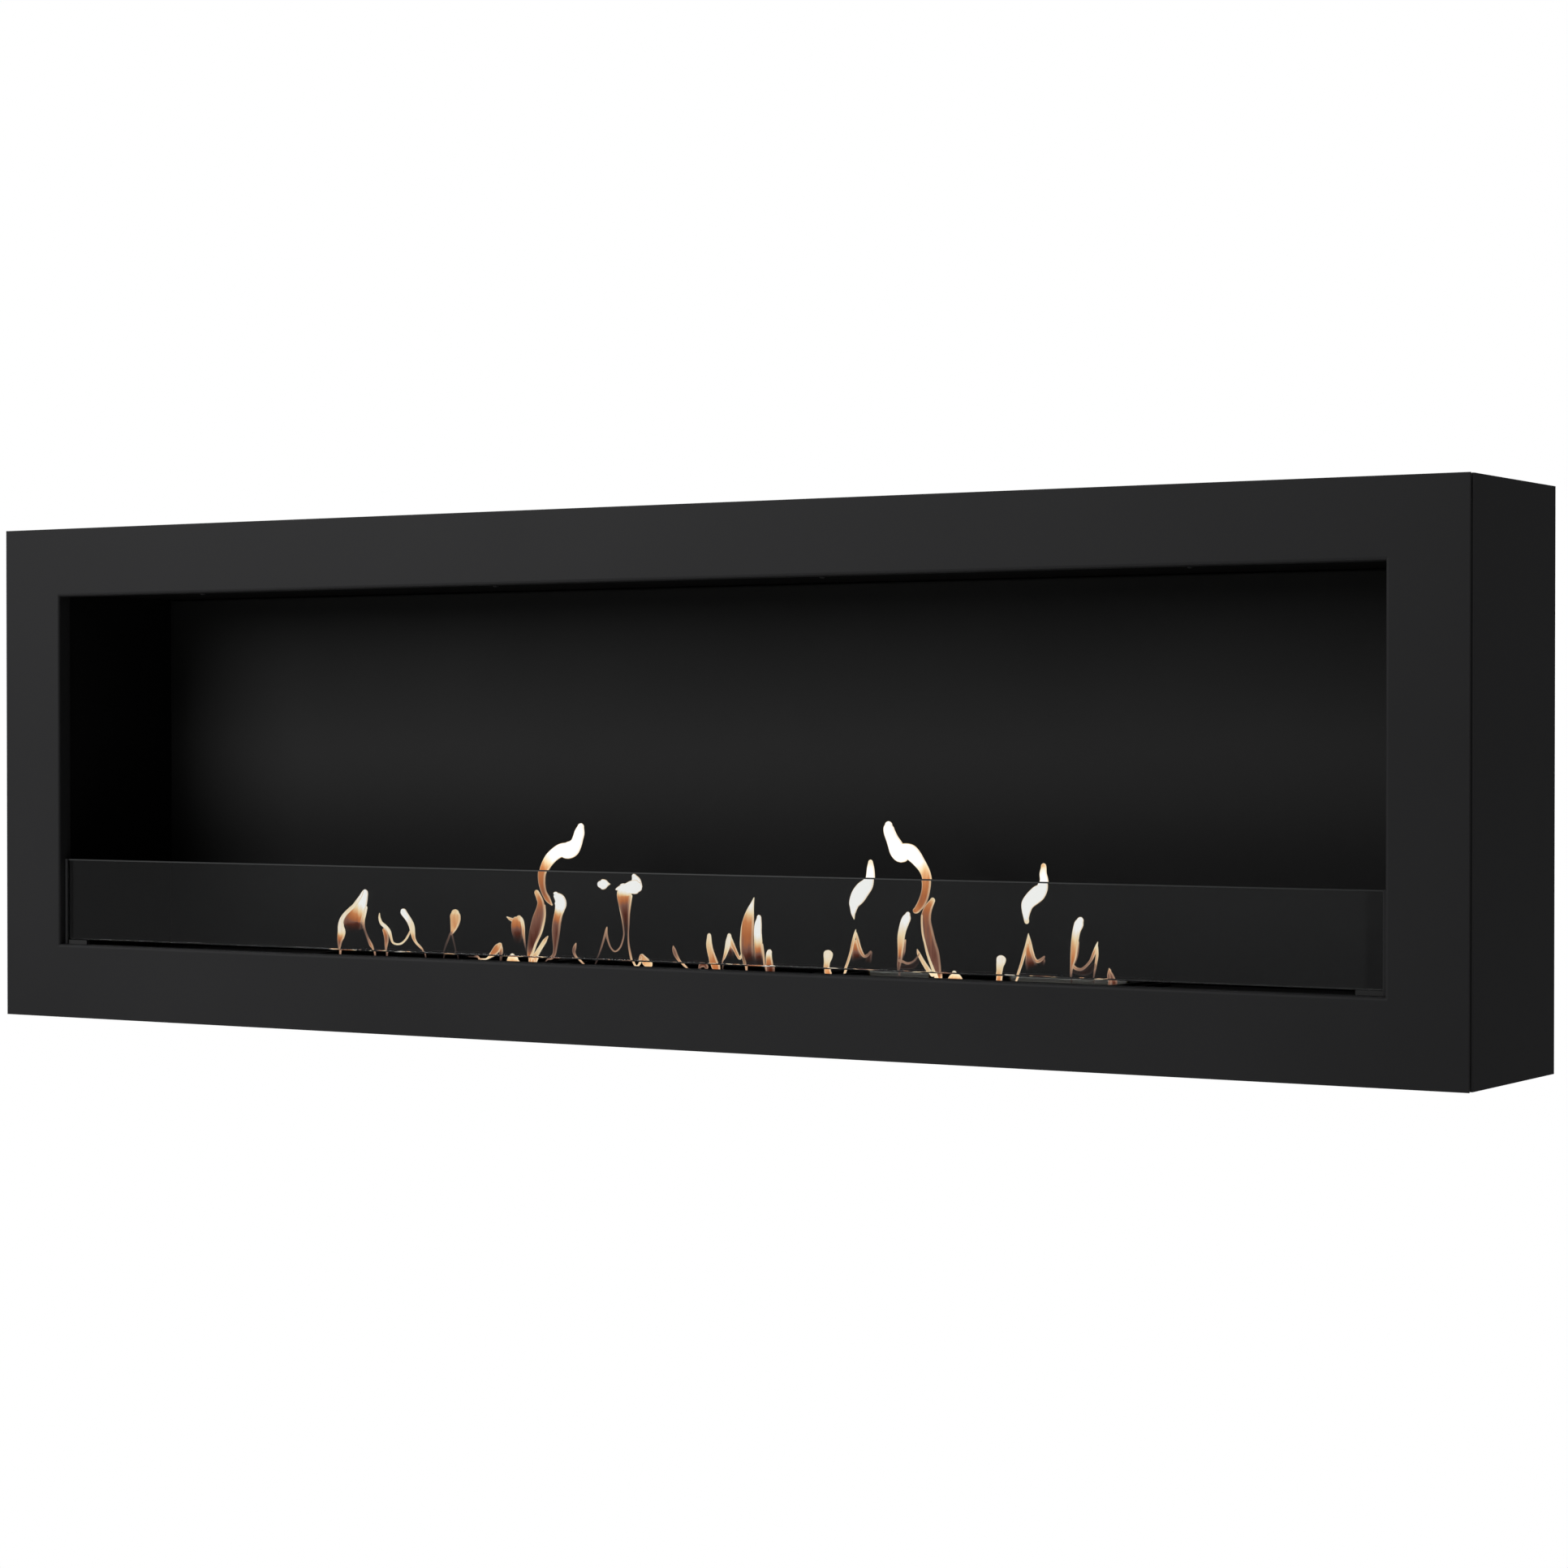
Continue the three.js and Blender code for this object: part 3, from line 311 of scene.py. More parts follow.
def temper_and_shade_tint(tree, place, handling):
    """The fire's tint with painted shade by the slot, by the distance from it. Handling makes it
    ragged.
    """
    axes = add_node(tree, "ShaderNodeSeparateXYZ", links={0: place})
    away = add_node(tree, "ShaderNodeMath", {"operation": "SUBTRACT", 1: slot_y},
                    {0: axes.outputs["Y"]})
    far = add_node(tree, "ShaderNodeMath", {"operation": "ABSOLUTE"}, {0: away.outputs[0]})
    side = add_node(tree, "ShaderNodeMapRange",
                    {"From Min": RAMP_FROM_MM * MM, "From Max": RAMP_TO_MM * MM},
                    {"Value": axes.outputs["X"]})
    bare_here = add_node(tree, "ShaderNodeValToRGB", links={"Fac": side.outputs[0]})
    set_ramp(bare_here, bare_stops())
    edge = add_node(tree, "ShaderNodeMapRange",
                    {"From Min": BARE_NEAR, "From Max": BARE_GONE,
                     "To Min": TEMPER_FAR, "To Max": 0.0}, {"Value": far.outputs[0]})
    reach = add_node(tree, "ShaderNodeMath", {"operation": "MULTIPLY_ADD"},
                     {0: bare_here.outputs["Color"], 1: edge.outputs[0], 2: far.outputs[0]})
    ragged = add_node(tree, "ShaderNodeMath", {"operation": "MULTIPLY_ADD", 1: TEMPER_RAGGED},
                      {0: handling, 2: reach.outputs[0]})
    spread = add_node(tree, "ShaderNodeMapRange",
                      {"From Min": TEMPER_NEAR, "From Max": TEMPER_FAR},
                      {"Value": ragged.outputs[0]})
    temper = add_node(tree, "ShaderNodeValToRGB", links={"Fac": spread.outputs[0]})
    # Nearly black at the slot: soot and painted shade. Then the temper colours, and bare steel.
    set_ramp(temper, [(0.0, paint("#1b1a1b")), (0.2, paint("#30343b")), (0.4, paint("#5c463f")),
                      (0.6, paint("#a08a5c")), (0.9, paint("#ffffff"))])
    return temper.outputs["Color"]


baked_and_shaded_stainless = brushed_stainless("stainless_brushed_heat_tint_and_shade", tint=temper_and_shade_tint)
print("finish:", baked_and_shaded_stainless.name)

# %% [markdown]
# ## Zinc: galvanised sheet and plated hardware
#
# The rear panel, its stiffeners and the heat shield are hot-dip galvanised sheet. Zinc freezes
# on the steel in crystals 6 to 15 mm across, the spangle, and each one reflects a little
# differently. A Voronoi texture gives each crystal its own grey and its own roughness.
# The rivets and the two hanging rails are electroplated instead: fine, even and bluish.

# %% Galvanised sheet and zinc plating
def zinc_finish(name, crystal_mm, dark, light, roughness):
    """Zinc on steel. Large crystals make galvanised sheet, very small ones make plating."""
    material, tree = new_finish(name)
    place = add_node(tree, "ShaderNodeTexCoord").outputs["Object"]
    wander = add_node(tree, "ShaderNodeTexNoise", {"Scale": per_size(crystal_mm), "Detail": 2.0},
                      {"Vector": place})
    shifted = add_node(tree, "ShaderNodeVectorMath",
                       {"operation": "MULTIPLY_ADD", 1: (crystal_mm * MM * 0.5,) * 3},
                       {0: wander.outputs["Color"], 2: place})
    spangle = add_node(tree, "ShaderNodeTexVoronoi", {"Scale": per_size(crystal_mm)},
                       {"Vector": shifted.outputs[0]})
    grey = add_node(tree, "ShaderNodeSeparateColor", links={0: spangle.outputs["Color"]})
    tone = add_node(tree, "ShaderNodeMix", {"data_type": "RGBA", 6: paint(dark), 7: paint(light)},
                    {0: grey.outputs[0]})
    rough = add_node(tree, "ShaderNodeMapRange",
                     {"To Min": roughness[0], "To Max": roughness[1]}, {"Value": grey.outputs[1]})
    rounded = add_node(tree, "ShaderNodeBevel", {"samples": 4, "Radius": 0.5 * MM})
    bump = add_node(tree, "ShaderNodeBump", {"Strength": 0.3, "Distance": 0.02 * MM},
                    {"Height": wander.outputs["Fac"], "Normal": rounded.outputs["Normal"]})
    shader = add_node(tree, "ShaderNodeBsdfPrincipled", {"Metallic": 1.0},
                      {"Base Color": tone.outputs[2], "Roughness": rough.outputs[0],
                       "Normal": bump.outputs["Normal"]})
    add_node(tree, "ShaderNodeOutputMaterial", links={"Surface": shader.outputs[0]})
    return material


# Plating has no crystals that the eye can tell apart. At 0.8 mm they leave it faintly uneven.
galvanised = zinc_finish("galvanised_spangle", crystal_mm=11.0, dark="#8b9093",
                         light="#b4b9bb", roughness=(0.34, 0.52))
zinc_plate = zinc_finish("zinc_electroplate", crystal_mm=0.8, dark="#a6abad",
                         light="#bcc1c4", roughness=(0.28, 0.36))
print("finishes:", galvanised.name, zinc_plate.name)

# %% [markdown]
# ## Rubber
#
# The wall bumpers and the pads under the glass are moulded EPDM rubber: black and dry, with a
# grey bloom that makes it a little lighter and rougher in patches, and the fine grain of the
# mould. Two noises, one of 7 mm and one of 0.9 mm, give the bloom and the grain.

# %% Moulded rubber
def moulded_rubber():
    """Black EPDM rubber with a slight bloom."""
    material, tree = new_finish("epdm_rubber_moulded")
    place = add_node(tree, "ShaderNodeTexCoord").outputs["Object"]
    bloom = add_node(tree, "ShaderNodeTexNoise", {"Scale": per_size(7.0), "Detail": 4.0},
                     {"Vector": place})
    tone = add_node(tree, "ShaderNodeMix",
                    {"data_type": "RGBA", 6: paint("#141414"), 7: paint("#262626")},
                    {0: bloom.outputs["Fac"]})
    grain = add_node(tree, "ShaderNodeTexNoise", {"Scale": per_size(0.9)}, {"Vector": place})
    bump = add_node(tree, "ShaderNodeBump", {"Strength": 0.4, "Distance": 0.05 * MM},
                    {"Height": grain.outputs["Fac"]})
    rough = add_node(tree, "ShaderNodeMapRange", {"To Min": 0.6, "To Max": 0.85},
                     {"Value": bloom.outputs["Fac"]})
    shader = add_node(tree, "ShaderNodeBsdfPrincipled",
                      links={"Base Color": tone.outputs[2], "Roughness": rough.outputs[0],
                             "Normal": bump.outputs["Normal"]})
    add_node(tree, "ShaderNodeOutputMaterial", links={"Surface": shader.outputs[0]})
    return material


rubber = moulded_rubber()
print("finish:", rubber.name)

# %% [markdown]
# ## Pressed fibres
#
# Felt and ceramic wool are both fibres pressed together, one black and one nearly white. The
# eye sees tufts, the shadows between them, and a soft sheen where loose ends stand up. One
# recipe makes both: fine strands over larger clumps drive the relief, and the colour, which is
# darker where the relief is low as painted shade between the tufts.

# %% Felt and ceramic wool
def fibre_finish(name, dark, light, clump_mm, strand_mm, depth_mm, fuzz):
    """Pressed fibres: strands over clumps, and a soft sheen."""
    material, tree = new_finish(name)
    place = add_node(tree, "ShaderNodeTexCoord").outputs["Object"]
    clump = add_node(tree, "ShaderNodeTexNoise", {"Scale": per_size(clump_mm), "Detail": 3.0},
                     {"Vector": place})
    strand = add_node(tree, "ShaderNodeTexNoise",
                      {"Scale": per_size(strand_mm), "Detail": 4.0, "Distortion": 3.0},
                      {"Vector": place})
    both = add_node(tree, "ShaderNodeMath", {"operation": "MULTIPLY"},
                    {0: clump.outputs["Fac"], 1: strand.outputs["Fac"]})
    # Darker where strands and clumps are low: painted shade between the tufts.
    tone = add_node(tree, "ShaderNodeValToRGB", links={"Fac": both.outputs[0]})
    set_ramp(tone, [(0.12, paint(dark)), (0.36, paint(light))])
    bump = add_node(tree, "ShaderNodeBump", {"Strength": 0.9, "Distance": depth_mm * MM},
                    {"Height": both.outputs[0]})
    shader = add_node(tree, "ShaderNodeBsdfPrincipled",
                      {"Roughness": 0.95, "Sheen Weight": fuzz, "Sheen Roughness": 0.6},
                      {"Base Color": tone.outputs["Color"], "Normal": bump.outputs["Normal"]})
    add_node(tree, "ShaderNodeOutputMaterial", links={"Surface": shader.outputs[0]})
    return material


# Real fibres are hundredths of a millimetre thick. They are drawn as strands of about 1 mm,
# which is what they clump into.
felt = fibre_finish("felt_pressed_black", "#0c0c0c", "#1c1c1c",
                    clump_mm=6.0, strand_mm=0.8, depth_mm=0.3, fuzz=0.2)
ceramic_wool = fibre_finish("ceramic_wool_blanket", "#b9b2a4", "#f3f0e8",
                            clump_mm=9.0, strand_mm=1.1, depth_mm=0.8, fuzz=0.3)
print("finishes:", felt.name, ceramic_wool.name)

# %% [markdown]
# ## Finishes on the frame's own nodes
#
# Every CAD node keeps its shape and gets the finish of the real part. The names say what each
# is, so a short table of name starts is enough, and nothing is left with a plain grey.

# %% Give each CAD node its finish
NODE_FINISHES = [
    (("front_fascia", "fascia_screw_", "casing_", "glass_channel_"), powder_coat),
    (("firebox_back", "burner_deck", "deck_rib_"), fire_paint),
    # The firebox's end walls and ceiling take the darker copy, painted shade.
    (("firebox_left", "firebox_right", "firebox_top"), shaded_fire_paint),
    (("burner_left_", "burner_centre_", "burner_right_"), stainless),
    (("rear_panel", "back_stiffener_", "heat_shield"), galvanised),
    (("hanger_", "wall_rail"), zinc_plate),
    (("wall_bumper_", "glass_pad_"), rubber),
]
# Parts by the fire get the heat tint, whose near-black by the slot is partly painted shade.
BY_THE_FIRE = ("_top_plate", "_shutter", "_guide_left", "_guide_right")

for name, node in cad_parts.items():
    for starts, finish in NODE_FINISHES:
        if name.startswith(starts):
            node.data.materials.clear()
            node.data.materials.append(baked_and_shaded_stainless if name.endswith(BY_THE_FIRE) else finish)
left = [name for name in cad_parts
        if not any(name.startswith(starts) for starts, _ in NODE_FINISHES)]
print("nodes left for a piece of their own:", left)

# %% [markdown]
# ## From a bmesh to a piece
#
# A bmesh is worked on in memory and then written to a mesh. Every new piece here goes the same
# way: its faces are turned outwards, it is written, shaded smooth where it is round, given its
# finish, and told which CAD body it rides on. A second helper gives the box that two of the
# pieces start from.

# %% Finish a bmesh as a piece
def make_piece(bm, name, body, slot, *finishes, smooth_deg=35.0):
    """Writes a bmesh to a new object that rides on a body."""
    mesh = bpy.data.meshes.new(name)
    bm.to_mesh(mesh)
    bm.free()
    for finish in finishes:
        mesh.materials.append(finish)
    obj = bpy.data.objects.new(name, mesh)
    bpy.context.scene.collection.objects.link(obj)
    mesh.shade_smooth()
    mesh.set_sharp_from_angle(angle=math.radians(smooth_deg))
    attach(obj, body)
    print(name, "has", len(mesh.polygons), "faces and rides on", body)
    return obj


def box_bmesh(low, high):
    """A bmesh cube stretched between two corners."""
    bm = bmesh.new()
    size = high - low
    place = Matrix.Translation((low + high) / 2) @ Matrix.Diagonal((*size, 1.0))
    bmesh.ops.create_cube(bm, size=1.0, matrix=place)
    return bm


# %% [markdown]
# ## The smoked glass guard
#
# The guard is a long pane of 5 mm toughened glass, tinted grey. It reflects a little of the
# room, lets the flames through, and its edges are ground to a small chamfer before toughening,
# so they scatter light and read as a pale line. The bottom edge is polished, and stays clear.
# A plain box has no such edge, so the piece is a cube bevelled all round, with a second,
# frosted finish on the ground edges.

# %% Smoked glass
def smoked_glass():
    """Grey tinted float glass, with the faint roller wave that toughening leaves."""
    material, tree = new_finish("smoked_toughened_glass")
    place = add_node(tree, "ShaderNodeTexCoord").outputs["Object"]
    wave = add_node(tree, "ShaderNodeTexNoise", {"Scale": per_size(140.0)}, {"Vector": place})
    bump = add_node(tree, "ShaderNodeBump", {"Strength": 0.15, "Distance": 0.2 * MM},
                    {"Height": wave.outputs["Fac"]})
    tint = add_node(tree, "ShaderNodeMix",
                    {"data_type": "RGBA", 6: paint("#eaeced"), 7: paint("#eff1f2")},
                    {0: wave.outputs["Fac"]})
    shader = add_node(tree, "ShaderNodeBsdfPrincipled",
                      {"Transmission Weight": 1.0, "Roughness": 0.015, "IOR": 1.52},
                      {"Base Color": tint.outputs[2], "Normal": bump.outputs["Normal"]})
    add_node(tree, "ShaderNodeOutputMaterial", links={"Surface": shader.outputs[0]})
    return material


guard_glass = smoked_glass()
print("finish:", guard_glass.name)

# %% The ground edge
# The marks of a grinding belt are finer than this. They are drawn 0.5 mm wide, so that they show.
BELT_LONG_MM, BELT_WIDE_MM = 9.0, 0.5


def ground_edge():
    """The same glass where a grinding belt has frosted it."""
    material, tree = new_finish("glass_ground_edge")
    place = add_node(tree, "ShaderNodeTexCoord").outputs["Object"]
    wide = per_size(BELT_WIDE_MM)
    along = add_node(tree, "ShaderNodeMapping", {"Scale": (per_size(BELT_LONG_MM), wide, wide)},
                     {"Vector": place})
    belt = add_node(tree, "ShaderNodeTexNoise", {"Scale": 1.0, "Detail": 3.0},
                    {"Vector": along.outputs[0]})
    tone = add_node(tree, "ShaderNodeMix",
                    {"data_type": "RGBA", 6: paint("#212323"), 7: paint("#2c2e2e")},
                    {0: belt.outputs["Fac"]})
    bump = add_node(tree, "ShaderNodeBump", {"Strength": 0.4, "Distance": 0.03 * MM},
                    {"Height": belt.outputs["Fac"]})
    shader = add_node(tree, "ShaderNodeBsdfPrincipled", {"Roughness": 0.62},
                      {"Base Color": tone.outputs[2], "Normal": bump.outputs["Normal"]})
    add_node(tree, "ShaderNodeOutputMaterial", links={"Surface": shader.outputs[0]})
    return material


glass_edge = ground_edge()
print("finish:", glass_edge.name)

# %% The guard pane
CHAMFER = 1.4 * MM

low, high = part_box("glass_guard")
pane = box_bmesh(low, high)
bmesh.ops.bevel(pane, geom=pane.edges[:], offset=CHAMFER, offset_type="OFFSET", affect="EDGES",
                segments=2, profile=0.5, material=-1, clamp_overlap=True)
bmesh.ops.recalc_face_normals(pane, faces=pane.faces[:])
for face in pane.faces:
    polished = abs(face.normal.y) > 0.99 or face.calc_center_median().z < low.z + CHAMFER
    face.material_index = 0 if polished else 1
guard_pane = make_piece(pane, "guard_pane_ground", "guard", "guard_glass", guard_glass, glass_edge,
                        smooth_deg=20.0)
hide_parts("glass_guard")

# %% [markdown]
# ## The felt gasket
#
# A ring of pressed felt lies between the fascia and the casing. Felt has no sharp edge: its
# corners are pinched round where the two sheets of steel press on it. The node's own mesh is
# loose triangles, so a copy is merged and its flat faces joined first, and then its long edges
# are rounded.

# %% The gasket
# How far the felt's corners are pinched round.
NIP = 0.6 * MM

felt_ring = bmesh.new()
felt_ring.from_mesh(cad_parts["fascia_gasket"].data)
bmesh.ops.remove_doubles(felt_ring, verts=felt_ring.verts[:], dist=0.01 * MM)
bmesh.ops.dissolve_limit(felt_ring, angle_limit=math.radians(1.0), verts=felt_ring.verts[:],
                         edges=felt_ring.edges[:])
corners = [e for e in felt_ring.edges if e.is_manifold and e.calc_face_angle() > math.radians(40)]
bmesh.ops.bevel(felt_ring, geom=corners, offset=NIP, offset_type="OFFSET", affect="EDGES",
                segments=3, profile=0.5, material=-1, clamp_overlap=True)
gasket = make_piece(felt_ring, "fascia_gasket_felt", "casing", "gasket", felt, smooth_deg=50.0)
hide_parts("fascia_gasket")

# %% [markdown]
# ## The wool in each burner
#
# Each burner is packed with a ceramic fibre blanket that soaks up the ethanol and stops it
# slopping. It is a soft slab, pillowed on top, not a block. A cube is cut into a grid, and its
# upper face is lifted by two noises: slow lumps where the blanket is folded in, and the fine
# tufts of the fibre. The lift dies away towards the rim, which leaves the edges rounded.

# %% The wool blankets
# Height and width of a lump and of a tuft, the width of the rounded rim, and the grid's step.
LUMP, LUMP_WIDE_MM = 3.0 * MM, 38.0
TUFT, TUFT_WIDE_MM = 1.0 * MM, 6.0
ROUND_RIM = 8 * MM
GRID_STEP = 4.0 * MM
JUST_BELOW = 0.1 * MM

for side in ("left", "centre", "right"):
    low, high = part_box(f"burner_{side}_wool")
    flat_top = high.z - LUMP - TUFT
    blanket = box_bmesh(low, Vector((high.x, high.y, flat_top)))
    long_edges = [e for e in blanket.edges if abs(e.verts[0].co.x - e.verts[1].co.x) > GRID_STEP]
    bmesh.ops.subdivide_edges(blanket, edges=long_edges, cuts=int((high.x - low.x) / GRID_STEP),
                              use_grid_fill=True)
    cross_edges = [e for e in blanket.edges
                   if abs(e.verts[0].co.y - e.verts[1].co.y) > 2 * GRID_STEP]
    bmesh.ops.subdivide_edges(blanket, edges=cross_edges, cuts=int((high.y - low.y) / GRID_STEP),
                              use_grid_fill=True)
    for v in [v for v in blanket.verts if v.co.z > flat_top - JUST_BELOW]:
        rim = min(v.co.x - low.x, high.x - v.co.x, v.co.y - low.y, high.y - v.co.y)
        crown = min(1.0, max(rim, 0.0) / ROUND_RIM) ** 0.5
        lumps = 0.5 + 0.5 * noise.noise(v.co * per_size(LUMP_WIDE_MM))
        tufts = 0.5 + 0.5 * noise.noise(v.co * per_size(TUFT_WIDE_MM))
        v.co.z += crown * (LUMP * lumps + TUFT * tufts)
    bmesh.ops.recalc_face_normals(blanket, faces=blanket.faces[:])
    wool = make_piece(blanket, f"burner_{side}_wool_blanket", f"burner_{side}", "wool",
                      ceramic_wool, smooth_deg=60.0)
    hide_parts(f"burner_{side}_wool")

# %% [markdown]
# ## Flames
#
# An ethanol flame is a thin sheet of hot gas. Where the sheet is seen edge-on, at its rim, it
# glows cream. Inside the rim it is a see-through brown or orange, and it turns white where
# soot glows at the top. Near the wool it is nearly clear.
#
# Smoke simulation would be slow and would not export, so each tongue is a solid form: a circle
# is placed on the wool and extruded along a spine of stations, flattened front to back. Two
# numbers are stored on its points, the heat and the distance from the rim, and the finish
# turns these into colour and clearness, so it looks the same from wherever it is seen.

# %% The flame finish
STREAK_WIDE_MM, STREAK_LONG_MM = 5.0, 34.0


def ethanol_flame():
    """Glowing gas: a cream rim round a clear, brown, orange or white inside."""
    material, tree = new_finish("ethanol_flame_glow")
    warmth = add_node(tree, "ShaderNodeAttribute", {"attribute_name": "warmth"}).outputs["Fac"]
    depth = add_node(tree, "ShaderNodeAttribute", {"attribute_name": "rim_mm"}).outputs["Fac"]
    place = add_node(tree, "ShaderNodeTexCoord").outputs["Object"]
    wide = per_size(STREAK_WIDE_MM)
    rising = add_node(tree, "ShaderNodeMapping",
                      {"Scale": (wide, wide, per_size(STREAK_LONG_MM))}, {"Vector": place})
    streaks = add_node(tree, "ShaderNodeTexNoise",
                       {"Scale": 1.0, "Detail": 2.0, "Distortion": 0.6},
                       {"Vector": rising.outputs[0]})
    # The streaks shift the heat by a tenth either way.
    drift = add_node(tree, "ShaderNodeMath", {"operation": "MULTIPLY_ADD", 1: 0.2, 2: -0.1},
                     {0: streaks.outputs["Fac"]})
    heat = add_node(tree, "ShaderNodeMath", {"operation": "ADD"},
                    {0: warmth, 1: drift.outputs[0]}).outputs[0]
    # The rim reaches 3.2 mm into a clear flame, and only 1 mm into a white one.
    reach = add_node(tree, "ShaderNodeMath", {"operation": "MULTIPLY_ADD", 1: -2.2, 2: 3.2},
                     {0: warmth})
    inside = add_node(tree, "ShaderNodeMapRange",
                      {"interpolation_type": "SMOOTHSTEP", "From Min": 0.3},
                      {"Value": depth, "From Max": reach.outputs[0]})
    # The colours inside and along the rim, from cool to hot.
    core = add_node(tree, "ShaderNodeValToRGB", links={"Fac": heat})
    set_ramp(core, [(0.0, paint("#0d0807")), (0.15, paint("#3a1a0e")), (0.25, paint("#54220f")),
                    (0.36, paint("#7e5445")), (0.46, paint("#b3693c")), (0.6, paint("#cf8450")),
                    (0.7, paint("#eab884")), (0.78, paint("#f6dcae")), (0.95, paint("#fffefa"))])
    rim = add_node(tree, "ShaderNodeValToRGB", links={"Fac": heat})
    set_ramp(rim, [(0.0, paint("#241e1c")), (0.16, paint("#5c4c46")), (0.28, paint("#a3806c")),
                   (0.42, paint("#d0a987")), (0.6, paint("#f0d5ae")), (0.85, paint("#fdeecb")),
                   (1.0, paint("#f4cf96"))])
    glow = add_node(tree, "ShaderNodeMix", {"data_type": "RGBA"},
                    {0: inside.outputs[0], 6: rim.outputs["Color"], 7: core.outputs["Color"]})
    # How solid the gas looks at each heat. It also thins out over the last 0.7 mm of the rim.
    seen = add_node(tree, "ShaderNodeValToRGB", links={"Fac": warmth})
    set_ramp(seen, [(0.0, (0, 0, 0, 1)), (0.12, (0.3, 0.3, 0.3, 1)), (0.3, (0.8, 0.8, 0.8, 1)),
                    (0.55, (1, 1, 1, 1))])
    fade = add_node(tree, "ShaderNodeMapRange", {"From Max": 0.7}, {"Value": depth})
    clear = add_node(tree, "ShaderNodeMath", {"operation": "MULTIPLY"},
                     {0: seen.outputs["Color"], 1: fade.outputs[0]})
    shader = add_node(tree, "ShaderNodeBsdfPrincipled",
                      {"Base Color": paint("#000000"), "Roughness": 1.0,
                       "Specular IOR Level": 0.0, "Emission Strength": 1.06},
                      {"Emission Color": glow.outputs[2], "Alpha": clear.outputs[0]})
    add_node(tree, "ShaderNodeOutputMaterial", links={"Surface": shader.outputs[0]})
    return material


flame_glow = ethanol_flame()
print("finish:", flame_glow.name)
